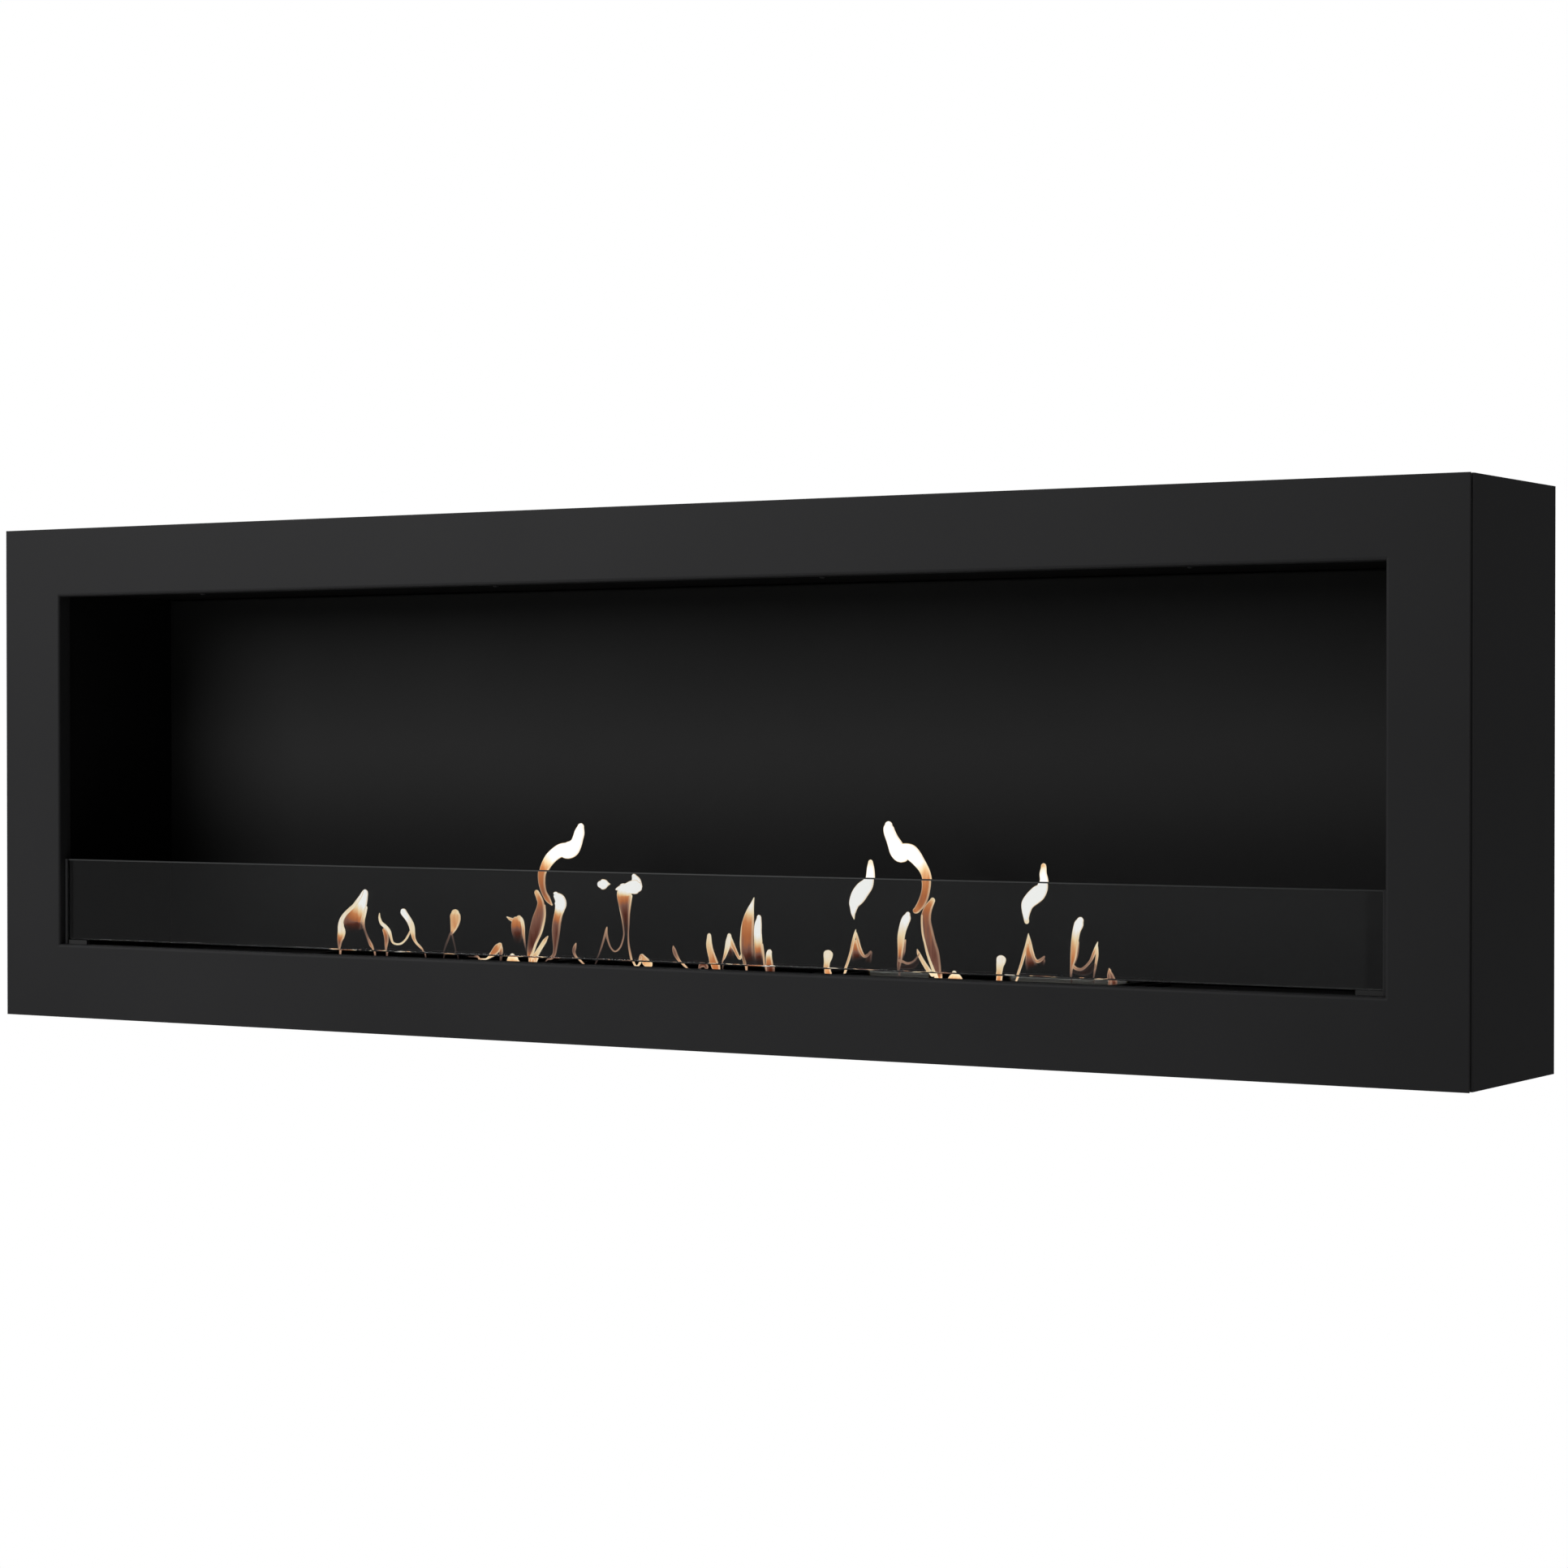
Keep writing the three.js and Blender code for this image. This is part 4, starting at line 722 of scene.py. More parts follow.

# %% [markdown]
# ## Where each tongue stands
#
# A spine is a list of stations: millimetres along the burner from its middle, millimetres above
# the wool, half the width there, and the heat from 0, clear, to 1, white. They were picked along
# a row of flames, because a random flame looks like grass, and the picks were turned into
# millimetres for these lists. A helper program outside this file turned the picks into
# millimetres and wrote these lists. A wide flame is a clear brown body with a separate bright
# ribbon along each edge.
#
# The left burner has a leaning fin, a curl, a drop, a tall twist, and a torch at its end.

# %% Spines of the left burner's tongues
LEFT_TONGUES = [
    # the fin, its right leg and its left blade
    [(-108.5, 34.5, 4.2, 0), (-108.5, 37, 8.4, .05), (-108.5, 39.5, 11.4, .12),
     (-108, 43.5, 13.2, .22), (-108, 49, 13.8, .37), (-105, 54.5, 12.1, .5), (-100, 61, 8.8, .76),
     (-95, 68.5, 6.2, .98), (-92, 76, 4.3, 1), (-91.5, 79, 4, .95)],
    [(-78.5, 2, 1.1, .04), (-81, 17.5, 1.4, .4), (-84, 22.5, 2.2, .44), (-88, 29.5, 1.6, .3),
     (-91.5, 36.5, 1.5, .22), (-94, 43, 1.7, .36), (-94, 49.5, 1.8, .72), (-92, 57, 2, .85),
     (-90, 63, 1.5, .9)],
    [(-127.5, 2, 1.2, .04), (-127, 14.5, 1.5, .36), (-126.5, 19.5, 1.9, .38),
     (-126, 25.5, 3.3, .4), (-124.5, 31, 4.7, .62), (-123.5, 36, 5.2, .82),
     (-124.5, 42, 4.1, .84), (-123, 49, 3.2, .84), (-118.5, 55, 2.7, .82), (-112.5, 60, 2.5, .8),
     (-106.5, 64.5, 2.4, .8), (-101, 70.5, 2.3, .86), (-96.5, 76, 1.9, .95),
     (-94, 80.5, 1.2, .95)],
    # the curl: left blade and valley, right leg and white head, brown foot
    [(-72, 57, .7, .7), (-72, 52, 1.6, .8), (-69.5, 46.5, 2.1, .85), (-64.5, 43, 2.4, .85),
     (-59, 38, 2.3, .85), (-56.5, 32, 1.8, .75), (-54, 26, 1.4, .75), (-48.5, 24, 1.2, .8),
     (-42, 25, 1.3, .8), (-36.5, 29, 1.3, .75), (-33, 33.5, 1.4, .7), (-30, 38.5, 1.2, .6)],
    [(-8, 2, .8, .04), (-11.5, 17.5, 1, .3), (-15.5, 22, 1.4, .6), (-21, 26.5, 1.6, .72),
     (-24.5, 32, 2.3, .66), (-26, 38.5, 3.2, .8), (-27.5, 45, 3.7, .8), (-31.5, 51.5, 3.5, .88),
     (-36, 56.5, 3.8, 1), (-38.5, 59.5, 4, 1)],
    [(-63, 2, 1.2, .04), (-62.5, 18, 1.5, .3), (-62, 23.5, 2.2, .4), (-61.5, 28.5, 2.9, .38),
     (-62, 33.5, 3.3, .42), (-63.5, 37.5, 2.9, .55), (-64.5, 39, 2.6, .6)],
    # the drop and its two clear stems
    [(26, 37, 1.2, .3), (27.5, 40.5, 2.8, .62), (29.5, 46, 4.9, .64), (31, 52.5, 6.5, .65),
     (31, 57.5, 6.6, .68), (31, 60, 5.1, .76)],
    [(13, 2, .9, .04), (16, 16.5, 1.1, .12), (19.5, 26, 1.5, .16), (24, 35, 1.5, .19),
     (26, 39, 1, .28)],
    [(35, 2, .9, .04), (32.5, 17, 1.1, .12), (30, 26.5, 1.3, .16), (27.5, 35, 1.3, .19),
     (26.5, 39, .9, .28)],
    # the low curl and its tail, and a dome
    [(61, 11.5, .8, .4), (66, 11.5, .9, .6), (71.5, 12, 1.1, .75), (77.5, 15.5, 2.2, .7),
     (83, 19.5, 3.8, .56), (87.5, 24, 4.4, .56), (90.5, 27, 3.1, .68)],
    [(48, 14, .8, .12), (54.5, 14, .9, .15), (59.5, 14.5, 1.4, .3), (62.5, 12.5, 1, .45)],
    [(89, 2, 1.4, .04), (90.5, 14.5, 1.7, .2), (92, 19.5, 2.4, .4), (92, 24.5, 2.1, .6)],
    [(107, 1, 8.2, .66), (107, 9.5, 8.2, .66), (107, 12.5, 7.4, .72), (107.5, 15, 5.7, .8),
     (107.5, 16, 3.3, .85)],
    # the small flag: body, left tip, right rim
    [(113, 29, 3.6, 0), (114.5, 36, 6.2, .16), (114.5, 43.5, 7.8, .32), (114.5, 50, 8.1, .5),
     (115, 54.5, 7, .62), (116, 56.5, 3.5, .72)],
    [(100, 57.5, .8, .7), (103, 56, 1.6, .7), (107.5, 54.5, 2.1, .66), (113.5, 54.5, 1.9, .7),
     (118, 56, 1.5, .75)],
    [(126, 22, .9, .12), (124, 30.5, 1.2, .25), (122.5, 40, 1.8, .5), (122, 47.5, 2.1, .72),
     (120.5, 54, 2.3, .82), (119.5, 57.5, 1.2, .85)],
    # the tall twist: ribbon and its cream line, swept top, side tongue
    [(131.5, 1, 4.5, .62), (131.5, 10, 4.5, .62), (130.5, 16, 3.8, .55), (131.5, 25, 4.8, .3),
     (134, 34, 6.1, .26), (137.5, 45, 7.4, .31), (141.5, 57, 7.5, .37), (144, 67, 5.7, .4),
     (144, 74.5, 4.1, .48), (141, 81, 3.4, .64), (139, 84.5, 3, .72)],
    [(126.5, 2, 1.6, .04), (130, 13, 2, .66), (134, 20.5, 1.7, .72), (138.5, 31, 1.5, .72),
     (144.5, 41.5, 1.4, .72), (148, 51.5, 1.4, .72), (150, 61.5, 1.2, .6), (149.5, 71, 1.2, .5)],
    [(159, 72.5, 1.2, .6), (154, 78, 3.3, .5), (149.5, 84.5, 3.4, .42), (147, 91.5, 4, .44),
     (146, 98.5, 4.6, .5), (146.5, 106, 5.1, .55), (149.5, 113, 5.8, .64), (155, 120.5, 6.6, .86),
     (162.5, 126.5, 6.9, 1), (170, 130, 7.5, 1), (178, 130, 9, 1), (184.5, 132.5, 8.9, 1),
     (189, 137.5, 7.2, 1), (191.5, 143.5, 6.5, 1), (193.5, 149.5, 6.2, 1), (195, 155, 4.2, .95)],
    [(130.5, 2, 2.9, .32), (134.5, 12.5, 3.6, .64), (139, 19.5, 3, .72), (144.5, 27, 2.6, .76),
     (149, 33, 2.5, .74), (153, 38, 1, .6)],
    # the torch at the slot's end
    [(144, 2, .7, .04), (150.5, 13, .9, .2), (157.5, 16, 1.7, .34), (162, 20, 2.2, .3),
     (163.5, 27.5, 2.7, .27), (164, 36, 4.1, .27), (164.5, 45, 5.1, .29), (165.5, 53.5, 5.3, .36),
     (167.5, 62, 5.2, .62), (169.5, 68.5, 6.1, .92), (170.5, 73.5, 7.3, 1), (169, 78.5, 6.5, 1),
     (164.5, 82.5, 3.6, 1), (164, 83, 3.4, 1)],
]
print("tongues on the left burner:", len(LEFT_TONGUES))

# %% [markdown]
# ## The middle burner's tongues
#
# The middle burner has a spark that has come loose, a column with a swept head, and a low
# hearth of small tongues with two tall blades. A loose piece needs no root: its spine simply
# starts above the wool.

# %% Spines of the middle burner's tongues
CENTRE_TONGUES = [
    # a small hook, and the spark
    [(-132, 2, .6, .04), (-136.5, 8, .8, .2), (-143.5, 13.5, 1.2, .5), (-149, 19, 1.5, .36),
     (-151, 23.5, 2.1, .25), (-150, 28, 2.2, .3), (-148.5, 32, .9, .42)],
    [(-117, 95, 4, 1), (-114.5, 95, 5.7, 1), (-110.5, 95.5, 4.7, 1), (-107.5, 95.5, 2.2, .9),
     (-105, 95.5, .6, .8)],
    # the hook line beside the column
    [(-128.5, 2, .7, .04), (-125.5, 10, .9, .12), (-120, 19.5, 1.1, .17),
     (-115.5, 29.5, 1.2, .25), (-112, 39.5, 1.4, .3), (-109.5, 47.5, 1.3, .4),
     (-108.5, 50.5, .7, .46)],
    [(-94, 81, 1.4, .8), (-92, 70.5, 1.3, .66), (-89.5, 59, 1.1, .45), (-88, 50, 1, .32),
     (-87.5, 43, 1, .3), (-89.5, 35, 1.1, .33), (-93, 28.5, 1.1, .33), (-98.5, 25, 1, .33),
     (-103.5, 28, 1.1, .3), (-107, 34.5, 1.2, .3), (-109.5, 43, 1.6, .34), (-109, 49.5, .9, .44)],
    # the column, its swept head and its tip
    [(-83.5, 37.5, 1.5, 0), (-84, 47.5, 3.2, .12), (-84.5, 57, 4.5, .2), (-85.5, 66.5, 5.7, .27),
     (-86.5, 75, 7.2, .38), (-87, 82.5, 8.5, .58), (-86.5, 87, 8.9, .85), (-85, 92.5, 7.6, 1)],
    [(-96.5, 90.5, 1.3, .95), (-92.5, 91.5, 2.9, 1), (-85.5, 92, 4.7, 1), (-78, 93, 7, 1),
     (-71.5, 93.5, 7.5, 1), (-68.5, 93.5, 5.4, 1)],
    [(-72.5, 94, 8.1, 1), (-72.5, 99.5, 6.1, 1), (-74.5, 104, 3, 1)],
    # its loose foot, running into a dome
    [(-77.5, 84, 1.3, .8), (-79, 75.5, 1.2, .6), (-80.5, 64.5, 1.1, .4), (-81, 53, 1, .3),
     (-81.5, 43, 1, .3), (-81, 33, 1.2, .34), (-79, 23.5, 1.4, .44), (-76.5, 15, 1.3, .6),
     (-72.5, 10.5, 1.2, .68), (-68.5, 14, 1.4, .64), (-66, 20, 2, .6)],
    [(-64.5, 20.5, 3.3, .6), (-64, 20, 3.4, .66), (-61, 16, 5.1, .68), (-58, 13.5, 4.6, .7),
     (-57, 13, 4.3, .72)],
    # small tongues along the hearth
    [(-4, 2, .6, .04), (-8.5, 9.5, .8, .4), (-13.5, 13.5, 1.4, .52), (-18, 18, 1.6, .5),
     (-22, 23.5, 2.3, .34), (-24.5, 29, 2.3, .34), (-25.5, 33, .7, .42)],
    [(26.5, 1, 4.7, .5), (26.5, 11, 4.7, .5), (25, 16, 5.2, .56), (23, 22.5, 4.4, .64),
     (20.5, 29.5, 3.9, .7), (19, 36.5, 3.6, .74), (19, 42.5, 2.8, .8), (19, 45.5, 2.4, .8)],
    [(3, 2, 1, .04), (5, 10, 1.3, .2), (7.5, 14, 2.7, .28), (12, 14.5, 2.6, .28),
     (14, 12.5, 2.5, .28)],
    [(33, 2, .6, .04), (35, 18, .8, .3), (37.5, 23.5, 1.6, .6), (40.5, 32, 2.7, .82),
     (42.5, 39.5, 3.4, .88), (43.5, 45, 2.6, .86), (43.5, 46, 2.4, .82)],
    [(44.5, 45, 1.5, .82), (47, 38, 2.4, .68), (50.5, 31.5, 2.1, .6), (54, 25.5, 1.8, .6),
     (56.5, 23, 1.6, .7), (58.5, 26.5, 1.4, .76)],
    [(45, 20.5, 3.1, 0), (45, 25, 4, .1), (45, 30.5, 3.4, .26), (44.5, 33, 3, .55)],
    # the pair of tall blades, and a stub
    [(69, 13.5, 5.8, 0), (68, 20, 7.2, .1), (66, 27.5, 7.4, .26), (65.5, 37, 7.4, .41),
     (65.5, 47, 7.4, .46), (66, 57, 7.2, .55), (67.5, 65.5, 6, .66), (69.5, 73.5, 4, .84),
     (71.5, 79.5, 2.2, .92), (73.5, 85.5, .7, .85)],
    [(63.5, 2, 1, .04), (63, 11, 1.3, .4), (62.5, 17, 1.8, .45), (60.5, 23.5, 1.8, .6),
     (58.5, 29, 1.3, .72), (57.5, 37.5, 1.3, .74), (58, 45.5, 1.4, .78), (59, 55.5, 1.2, .82),
     (60.5, 62.5, .6, .84)],
    [(80, 14, 4.6, 0), (80, 21, 5.4, .12), (79.5, 27, 5.3, .3), (79, 34, 5, .58),
     (78.5, 42, 4.8, .82), (78, 51, 4.6, 1), (78.5, 58.5, 4.2, 1), (79.5, 64, 2.9, 1),
     (79.5, 65.5, 2.7, 1)],
    [(88, 2, .8, .04), (87.5, 9, 1, .2), (86, 17.5, 1.3, .42), (85, 27, 1.3, .55),
     (83.5, 38, 1.2, .7)],
    [(92.5, 1, 4.5, .2), (92.5, 7.5, 4.5, .2), (92, 13.5, 5.1, .27), (92, 18.5, 4.3, .5),
     (91.5, 23, 3.8, .66), (91.5, 28, 3.4, .88), (92, 30, 3.1, .9)],
    # the drop at the slot's end
    [(142, 1, 3.8, .58), (160, 8.5, 3.8, .58), (160, 13, 3.8, .62), (160, 18, 3.5, .68),
     (160.5, 22.5, 3.6, .78), (161.5, 27.5, 5, .84), (162, 31, 5.4, .84)],
]
print("tongues on the middle burner:", len(CENTRE_TONGUES))

# %% [markdown]
# ## The right burner's tongues
#
# The right burner has two S-shaped licks that have left their roots, hooks beside them, and
# the tall twist again, turned the other way. The foot of a hook is a clear wing, made of one
# wide body with hardly any heat.

# %% Spines of the right burner's tongues
RIGHT_TONGUES = [
    # the left S-shaped lick, and the arch it came from
    [(-146, 67, .7, .8), (-147, 72.5, 2.6, .95), (-146.5, 78, 4.4, 1), (-145.5, 83, 6.4, 1),
     (-141.5, 89.5, 8.3, 1), (-136.5, 96, 8.3, 1), (-131, 101.5, 7.1, 1), (-128.5, 107, 5.5, 1),
     (-128, 113.5, 4.8, 1), (-128, 119, 4.1, .95), (-128, 124, 2.8, .85)],
    [(-160.5, 2, 1, .04), (-158.5, 10.5, 1.2, .62), (-156.5, 15.5, 1.5, .66),
     (-152.5, 25, 1.6, .64), (-149.5, 34, 1.6, .64), (-147, 43.5, 1.8, .68), (-145, 51, 1.6, .74),
     (-144, 56, .6, .78)],
    [(-143.5, 53, 1, .72), (-142, 46.5, 1.8, .62), (-140, 39.5, 1.9, .6), (-137, 33, 1.9, .5),
     (-134, 30, 1.6, .4), (-130, 31.5, 1.6, .28), (-126.5, 35, .9, .25)],
    [(-141.5, 24.5, 7, 0), (-142.5, 28.5, 6.3, .18), (-143.5, 34, 4.5, .36), (-144, 40, 3.1, .54),
     (-144, 43, 2.7, .66)],
    [(-130, 22.5, 3.8, 0), (-129, 26.5, 3.7, .14), (-127.5, 31.5, 2.5, .2),
     (-127, 33.5, 2.2, .24)],
    # the hook, its brown side and its low wing
    [(-95, 2, 1.4, .04), (-94.5, 17.5, 1.7, .2), (-94, 23, 2.3, .27), (-93, 29, 2.8, .34),
     (-92.5, 35.5, 3, .55), (-92, 43, 3.7, .68), (-91.5, 51, 4.2, .76), (-90, 58, 4.4, .85),
     (-87.5, 65, 4.9, .95), (-85, 70, 4.6, 1), (-84, 73, 2.9, 1)],
    [(-89.5, 29.5, 1.1, .1), (-88, 35.5, 1.6, .28), (-87.5, 42, 1.6, .34), (-86.5, 47, 1, .5)],
    [(-93.5, 27, 1.6, .34), (-89.5, 26, 1.5, .3), (-84.5, 24.5, 1.4, .3), (-79, 26, 1.2, .25),
     (-74, 30, 1.2, .22), (-71, 34.5, .8, .25)],
    [(-92, 20.5, 2.5, .09), (-85.5, 20.5, 2.8, .1), (-77.5, 22, 3.1, .1),
     (-72.5, 26.5, 2.4, .09)],
    # the tall twist, turned the other way
    [(-50, 1, 4.4, .6), (-50, 10, 4.4, .6), (-50.5, 14, 4.9, .4), (-52, 23.5, 5.7, .34),
     (-55, 35, 6.9, .33), (-58.5, 46.5, 6.4, .35), (-61, 56.5, 6.1, .36), (-63, 66, 5.7, .38),
     (-62.5, 74, 5.3, .42), (-60, 80.5, 4.4, .5), (-56, 86.5, 3, .68), (-55.5, 87.5, 2.9, .74)],
    [(-50, 2, 1.7, .04), (-52, 10.5, 2.1, .76), (-55.5, 20, 1.7, .76), (-59, 28, 1.5, .72),
     (-62, 36, 1.4, .72), (-64.5, 45, 1.2, .7), (-67, 54.5, 1.2, .68), (-68, 64.5, 1.1, .66),
     (-68, 72.5, 1.1, .62)],
    [(-74.5, 77, 3.3, .55), (-73, 78, 3.6, .56), (-68.5, 83.5, 4.5, .48), (-65, 90.5, 4.8, .46),
     (-63, 98, 4.8, .52), (-62.5, 106.5, 5.2, .6), (-64.5, 114.5, 5.4, .68),
     (-68, 120.5, 5.7, .84), (-72, 125.5, 6.5, 1), (-76.5, 130.5, 7.5, 1), (-81.5, 134.5, 8.2, 1),
     (-87, 135.5, 8.4, 1), (-92, 134, 9.9, 1), (-96.5, 136.5, 9.2, 1), (-100, 142.5, 8, 1),
     (-103, 148, 6.9, 1), (-106, 154.5, 6.5, 1), (-107, 159, 5.9, 1), (-107, 161.5, 4.4, .95)],
    [(-73, 38.5, .7, .55), (-71.5, 34.5, 1.9, .7), (-67.5, 28, 2.2, .75), (-62, 20.5, 2.5, .76),
     (-57, 14.5, 2.7, .78)],
    [(-31, 1, 8.1, .64), (-31, 9.5, 8.1, .64), (-31, 12.5, 7.1, .74), (-31, 14.5, 5.2, .8),
     (-31, 16, 2.9, .84)],
    # a drop
    [(18.5, 1, 3.3, .58), (18.5, 9.5, 3.3, .58), (19, 14.5, 3.3, .64), (20, 20, 3.4, .74),
     (20.5, 25, 4, .83), (21.5, 29, 5, .9), (22, 31.5, 5.3, .9)],
    # the right S-shaped lick and its arch
    [(49.5, 70, 2.7, .8), (49, 73.5, 3.1, .95), (49, 79.5, 4.8, 1), (50, 85.5, 6.5, 1),
     (52.5, 89.5, 7.1, 1), (57, 93.5, 7.8, 1), (62.5, 98, 7.9, 1), (66.5, 103, 6.2, 1),
     (67.5, 110, 4.7, 1), (66.5, 116.5, 4, .95), (67, 121.5, 3.2, .85), (67, 124, 2.9, .72)],
    [(35.5, 2, .9, .04), (37.5, 10.5, 1.1, .6), (40, 16.5, 1.4, .66), (44, 27, 1.6, .66),
     (47, 36.5, 1.8, .68), (50, 45.5, 1.9, .72), (51.5, 52.5, 1.5, .76), (52, 57.5, .6, .78)],
    [(52, 55.5, 1.1, .78), (53.5, 48.5, 1.9, .72), (55.5, 41, 1.9, .68), (58, 34, 1.9, .58),
     (61.5, 31, 1.8, .48), (65.5, 32.5, 1.8, .36), (69, 35.5, 1.3, .3)],
    [(56, 23.5, 7.2, 0), (54.5, 27.5, 6.3, .18), (53, 34, 4.7, .36), (51.5, 41.5, 3.1, .56),
     (51.5, 46, 2.7, .68)],
    [(66, 26.5, 3.6, 0), (67.5, 30, 3, .14), (68, 31.5, 2.8, .22)],
    # the hook, its brown side, its wing and the leg beyond it
    [(97, 2, .7, .04), (97.5, 11, .9, .14), (98, 19.5, 1.3, .25), (99, 27.5, 1.9, .42),
     (100.5, 35.5, 3.2, .56), (101.5, 45, 3.8, .66), (102.5, 54, 4, .78), (104, 62, 4.3, .92),
     (106.5, 68.5, 5, 1), (108, 72, 3.8, 1)],
    [(103, 31, 1.2, .14), (104.5, 38, 1.6, .3), (105.5, 44.5, 1.6, .34), (106.5, 51, .9, .5)],
    [(100, 29, 1.7, .45), (103.5, 25.5, 1.8, .4), (109.5, 24.5, 1.6, .3), (115, 28, 1.5, .3),
     (120, 33.5, 1.6, .36), (123.5, 40.5, 1.9, .55), (126, 47, 1.6, .82), (127.5, 51.5, .6, .85)],
    [(101, 23, 2.2, .08), (108.5, 21.5, 2.8, .1), (116.5, 23.5, 3.7, .1), (122.5, 29, 2.9, .09)],
    [(127, 46.5, 1.3, .8), (127, 39, 1.6, .66), (125.5, 29.5, 1.4, .42), (124, 21, 1.1, .2),
     (122.5, 12, .9, .14)],
    # the last stub
    [(138, 2, 1.2, .04), (138.5, 8.5, 1.5, .2), (139.5, 14.5, 2, .34), (139.5, 20, 2.3, .36),
     (140, 24.5, 1.8, .48), (139.5, 26.5, .8, .5)],
    [(142, 1, 3.3, .2), (144, 11, 3.3, .2), (143.5, 15, 3.3, .3), (142, 20, 2.3, .34),
     (141, 22, 2, .38)],
]
print("tongues on the right burner:", len(RIGHT_TONGUES))

# %% [markdown]
# ## From stations to a smooth spine
#
# The stations are few, so a smooth curve is run through them first: a Catmull-Rom curve, which
# passes through every one. Heat and width ride along it with the place. Both ends then get a
# few shrinking rings, because a flame ends in a round tip and not in a cut.

# %% Smooth a spine and round its ends
# Points on the curve from one station to the next.
STEPS_BETWEEN = 4
# How far along the rounded cap each of its rings stands, and the longest cap in millimetres.
END_STEPS = (0.45, 0.8, 0.98)
LONGEST_CAP_MM = 4.0


def smooth_spine(stations):
    """Points on a smooth curve through the stations."""
    last = len(stations) - 1
    for i in range(last):
        four = [stations[min(max(k, 0), last)] for k in (i - 1, i, i + 1, i + 2)]
        for step in range(STEPS_BETWEEN):
            t = step / STEPS_BETWEEN
            yield [0.5 * (2 * b + (c - a) * t + (2 * a - 5 * b + 4 * c - d) * t * t
                          + (3 * b - a - 3 * c + d) * t ** 3) for a, b, c, d in zip(*four)]
    yield list(stations[last])


def round_ends(spine):
    """The same points, with a rounded cap of shrinking rings at both ends."""
    caps = []
    for end, inner in ((spine[0], spine[1]), (spine[-1], spine[-2])):
        out = Vector((end[0] - inner[0], end[1] - inner[1])).normalized()
        out *= min(end[2], LONGEST_CAP_MM)
        caps.append([[end[0] + out.x * k, end[1] + out.y * k,
                      end[2] * math.sqrt(1 - k * k), end[3]] for k in END_STEPS])
    return caps[0][::-1] + spine + caps[1]


print("rings on the first tongue:", len(round_ends(list(smooth_spine(LEFT_TONGUES[0])))))

# %% [markdown]
# ## Extruding a tongue
#
# One circle of edges is extruded from ring to ring, each new ring carried to its place by one
# matrix, and the two small end holes are filled later. Neighbouring tongues stand a little in
# front of or behind each other, and a little aside, as flames do in a slot 44 mm wide.

# %% Draw one tongue
RING_POINTS = 14
# Depth of a flame over its width.
FLATNESS = 0.4
# Sideways shift for each millimetre of depth.
ASIDE = 0.62
# The thinnest half width, in millimetres.
THINNEST_MM = 0.2


def ring_place(here, before, after, middle, wool_top, forward):
    """The matrix that puts a unit circle on the spine, across it and flattened."""
    along = Vector((after[0] - before[0], 0, after[1] - before[1])).normalized()
    across = Vector((along.z, 0, -along.x))
    half = max(here[2], THINNEST_MM) * MM
    turn = Matrix((across, Vector((0, 1, 0)), along)).transposed().to_4x4()
    centre = Vector((middle.x + (here[0] - ASIDE * forward) * MM, middle.y + forward * MM,
                     wool_top + here[1] * MM))
    return Matrix.Translation(centre) @ turn @ Matrix.Diagonal((half, half * FLATNESS, 1, 1))


def add_tongue(bm, stations, middle, wool_top, forward):
    """Extrudes one closed tongue of flame into the bmesh."""
    heat = bm.verts.layers.float["warmth"]
    rim = bm.verts.layers.float["rim_mm"]
    spine = round_ends(list(smooth_spine(stations)))
    ring, edges, place = [], [], None
    for i, here in enumerate(spine):
        nearby = spine[max(i - 1, 0)], spine[min(i + 1, len(spine) - 1)]
        new_place = ring_place(here, *nearby, middle, wool_top, forward)
        if not ring:
            ring = bmesh.ops.create_circle(bm, radius=1.0, segments=RING_POINTS,
                                           matrix=new_place)["verts"]
            edges = list(dict.fromkeys(e for v in ring for e in v.link_edges))
        else:
            grown = bmesh.ops.extrude_edge_only(bm, edges=edges)["geom"]
            ring = [g for g in grown if isinstance(g, bmesh.types.BMVert)]
            edges = [g for g in grown if isinstance(g, bmesh.types.BMEdge)
                     and g.verts[0] in ring and g.verts[1] in ring]
            bmesh.ops.transform(bm, matrix=new_place @ place.inverted(), verts=ring)
        place = new_place
        for v in ring:
            v[heat] = min(max(here[3], 0.0), 1.0)
            v[rim] = (1 - abs((place.inverted() @ v.co).x)) * max(here[2], THINNEST_MM)


print("points on each ring:", RING_POINTS)

# %% [markdown]
# ## The flames of each burner
#
# Closing a shutter smothers its burner. Most of its tongues stand over the wool. Those at the
# very end of a slot lean out over the deck, towards the next burner, and they are a piece of
# their own.

# %% Build the flames of each burner
# Neighbouring tongues swing this far forwards or back, and each is turned this much further on.
SWAY_MM, SWAY_TURN = 4.0, 2.4
# Where the flames' own middle stands from the middle of the slot.
SHIFT_X, SHIFT_Y = 1.0 * MM, -2.0 * MM
# A tongue that reaches past this many millimetres leans out over the deck.
END_ZONE_MM = 154.0


def by_corners(part):
    """A number that sorts faces or edges by their lowest and highest corner."""
    corners = [v.index for v in part.verts]
    return min(corners) * 1e6 + max(corners)


def build_flames(name, side, tongues, middle, wool_top):
    """One piece from a list of numbered tongues."""
    bm = bmesh.new()
    for layer in ("warmth", "rim_mm"):
        bm.verts.layers.float.new(layer)
    for number, stations in tongues:
        add_tongue(bm, stations, middle, wool_top, SWAY_MM * math.sin(SWAY_TURN * number))
    bmesh.ops.holes_fill(bm, edges=bm.edges[:], sides=RING_POINTS)
    bmesh.ops.recalc_face_normals(bm, faces=bm.faces[:])
    # Extruding leaves faces and edges in an order of its own, so they are put in a fixed one.
    bm.verts.index_update()
    bm.edges.sort(key=by_corners)
    bm.faces.sort(key=by_corners)
    piece = make_piece(bm, name, f"burner_{side}", "wool", flame_glow, smooth_deg=80.0)
    # So small a flame hardly lights black steel, so the steel does not see it.
    piece.visible_diffuse = False
    piece.visible_glossy = False
    return piece


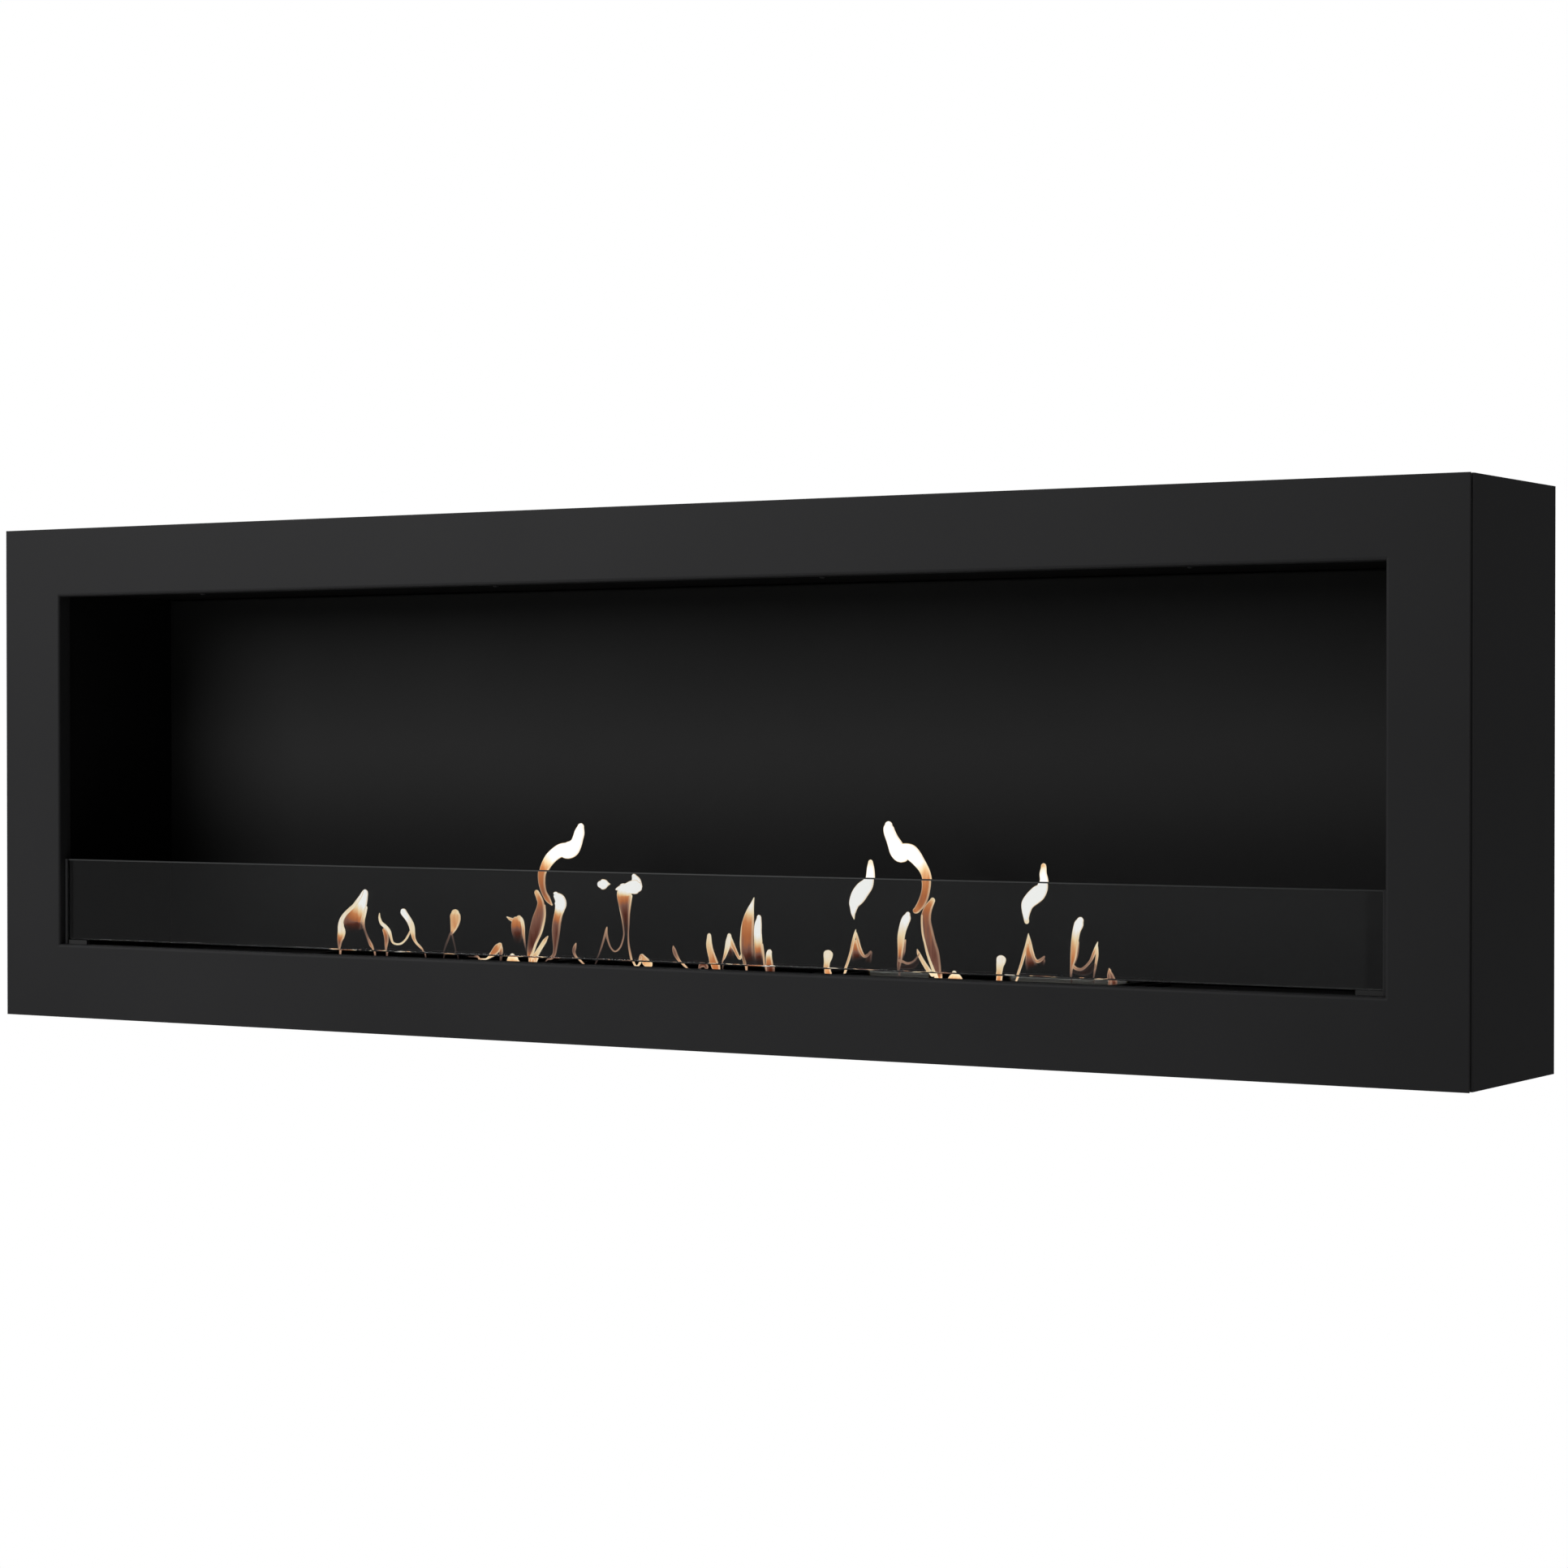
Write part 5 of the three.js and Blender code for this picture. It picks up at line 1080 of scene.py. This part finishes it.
for side, tongues in (("left", LEFT_TONGUES), ("centre", CENTRE_TONGUES),
                      ("right", RIGHT_TONGUES)):
    low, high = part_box(f"burner_{side}_wool")
    middle = Vector(((low.x + high.x) / 2 + SHIFT_X, slot_y + SHIFT_Y, 0))
    inner, outer = [], []
    for number, stations in enumerate(tongues):
        leans_out = any(abs(x) + half > END_ZONE_MM for x, _, half, _ in stations)
        (outer if leans_out else inner).append((number, stations))
    flames = build_flames(f"burner_{side}_flames", side, inner, middle, high.z)
    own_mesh(flames)
    swept = build_flames(f"burner_{side}_flames_end", side, outer, middle, high.z)
    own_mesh(swept)

# %% [markdown]
# ## Camera
#
# The camera stands to the right of the fireplace and a little above its middle, nearly four
# metres away, with a long lens, and looks very slightly down.

# %% The camera
LENS_MM = 83.5
LOOK_DOWN_DEG = 0.73
TURN_DEG = 31.78

camera_data = bpy.data.cameras.new("camera")
camera_data.lens = LENS_MM
camera_data.sensor_width = 36.0
camera = bpy.data.objects.new("camera", camera_data)
camera.location = (2.0565, -3.275, -0.1187)
camera.rotation_euler = (math.radians(90 - LOOK_DOWN_DEG), 0, math.radians(TURN_DEG))
bpy.context.scene.collection.objects.link(camera)
bpy.context.scene.camera = camera
print("camera:", round(camera.location.length, 2), "m away, lens", LENS_MM, "mm")

# %% [markdown]
# ## Light
#
# A large soft box stands high at the front left. It brightens the upper left of the casing and
# leaves the left wall and the ceiling of the firebox in shade. A narrow one above brings out
# the top sheet, a tall strip on the right lights the end of the casing, and a weak card low at
# the front left is what the glass mirrors. Behind the wall side stands one more, so that the
# zinc of the back can be seen. Five rows of a table are easier to compare than five blocks.

# %% The soft boxes
SOFT_BOXES = [
    # name, place, the point it faces, width and height in metres, watts
    ("key_soft_box", (-2.1, -3.2, 1.45), (0, 0, -0.1), 2.6, 2.5, 84.0),
    ("top_soft_box", (-0.9, -1.5, 1.25), (0, -0.2, -0.1), 2.4, 0.6, 10.0),
    ("side_strip", (3.0, 0.1, 0.3), (0.88, -0.1, -0.16), 0.8, 2.0, 10.4),
    ("front_card", (-2.8, -4.2, 0.1), (0, 0, -0.15), 3.6, 2.2, 0.9),
    ("back_soft_box", (-1.45, 3.5, 1.2), (0, 0, -0.1), 4.5, 3.5, 250.0),
]

for name, place, aim, width, height, watts in SOFT_BOXES:
    data = bpy.data.lights.new(name, "AREA")
    data.shape = "RECTANGLE"
    data.size = width
    data.size_y = height
    data.energy = watts
    light = bpy.data.objects.new(name, data)
    light.location = place
    light.rotation_euler = (Vector(aim) - Vector(place)).to_track_quat("-Z", "Y").to_euler()
    bpy.context.scene.collection.objects.link(light)
print("soft boxes:", len(SOFT_BOXES))

# %% [markdown]
# ## The room and the floor
#
# The room around is dim to the metal but white behind it, which is what a product set-up with
# a lit background does. The pale floor lies below, a little more than a metre under the
# casing, and is only part of the set.

# %% The room
ROOM_DIM, ROOM_LIT = 0.09, 1.0

world = bpy.data.worlds.new("studio")
world.use_nodes = True
sky = world.node_tree
sky.nodes.clear()
ray = add_node(sky, "ShaderNodeLightPath")
dim = add_node(sky, "ShaderNodeBackground", {"Color": (1, 1, 1, 1), "Strength": ROOM_DIM})
lit = add_node(sky, "ShaderNodeBackground", {"Color": (1, 1, 1, 1), "Strength": ROOM_LIT})
room = add_node(sky, "ShaderNodeMixShader",
                links={0: ray.outputs["Is Camera Ray"], 1: dim.outputs[0], 2: lit.outputs[0]})
add_node(sky, "ShaderNodeOutputWorld", links={"Surface": room.outputs[0]})
bpy.context.scene.world = world
bpy.context.scene.view_settings.view_transform = "Standard"
print("the room lights the metal with", ROOM_DIM)

# %% The floor
FLOOR_DROP = 1.05
FLOOR_MIDDLE_Y = -0.75
FLOOR_HALF_WIDTH, FLOOR_HALF_DEPTH = 2.4, 1.65

floor_paint, tree = new_finish("floor_pale")
shader = add_node(tree, "ShaderNodeBsdfPrincipled",
                  {"Base Color": paint("#f2f2f0"), "Roughness": 0.9})
add_node(tree, "ShaderNodeOutputMaterial", links={"Surface": shader.outputs[0]})

floor_z = cad_box[0][2] - FLOOR_DROP
ground = bmesh.new()
bmesh.ops.create_grid(ground, x_segments=1, y_segments=1, size=1.0,
                      matrix=Matrix.Translation((0, FLOOR_MIDDLE_Y, floor_z))
                      @ Matrix.Diagonal((FLOOR_HALF_WIDTH, FLOOR_HALF_DEPTH, 1, 1)))
floor_mesh = bpy.data.meshes.new("floor")
ground.to_mesh(floor_mesh)
ground.free()
floor = bpy.data.objects.new("floor", floor_mesh)
bpy.context.scene.collection.objects.link(floor)
floor_mesh.materials.append(floor_paint)
print("floor at z", round(floor_z, 3))
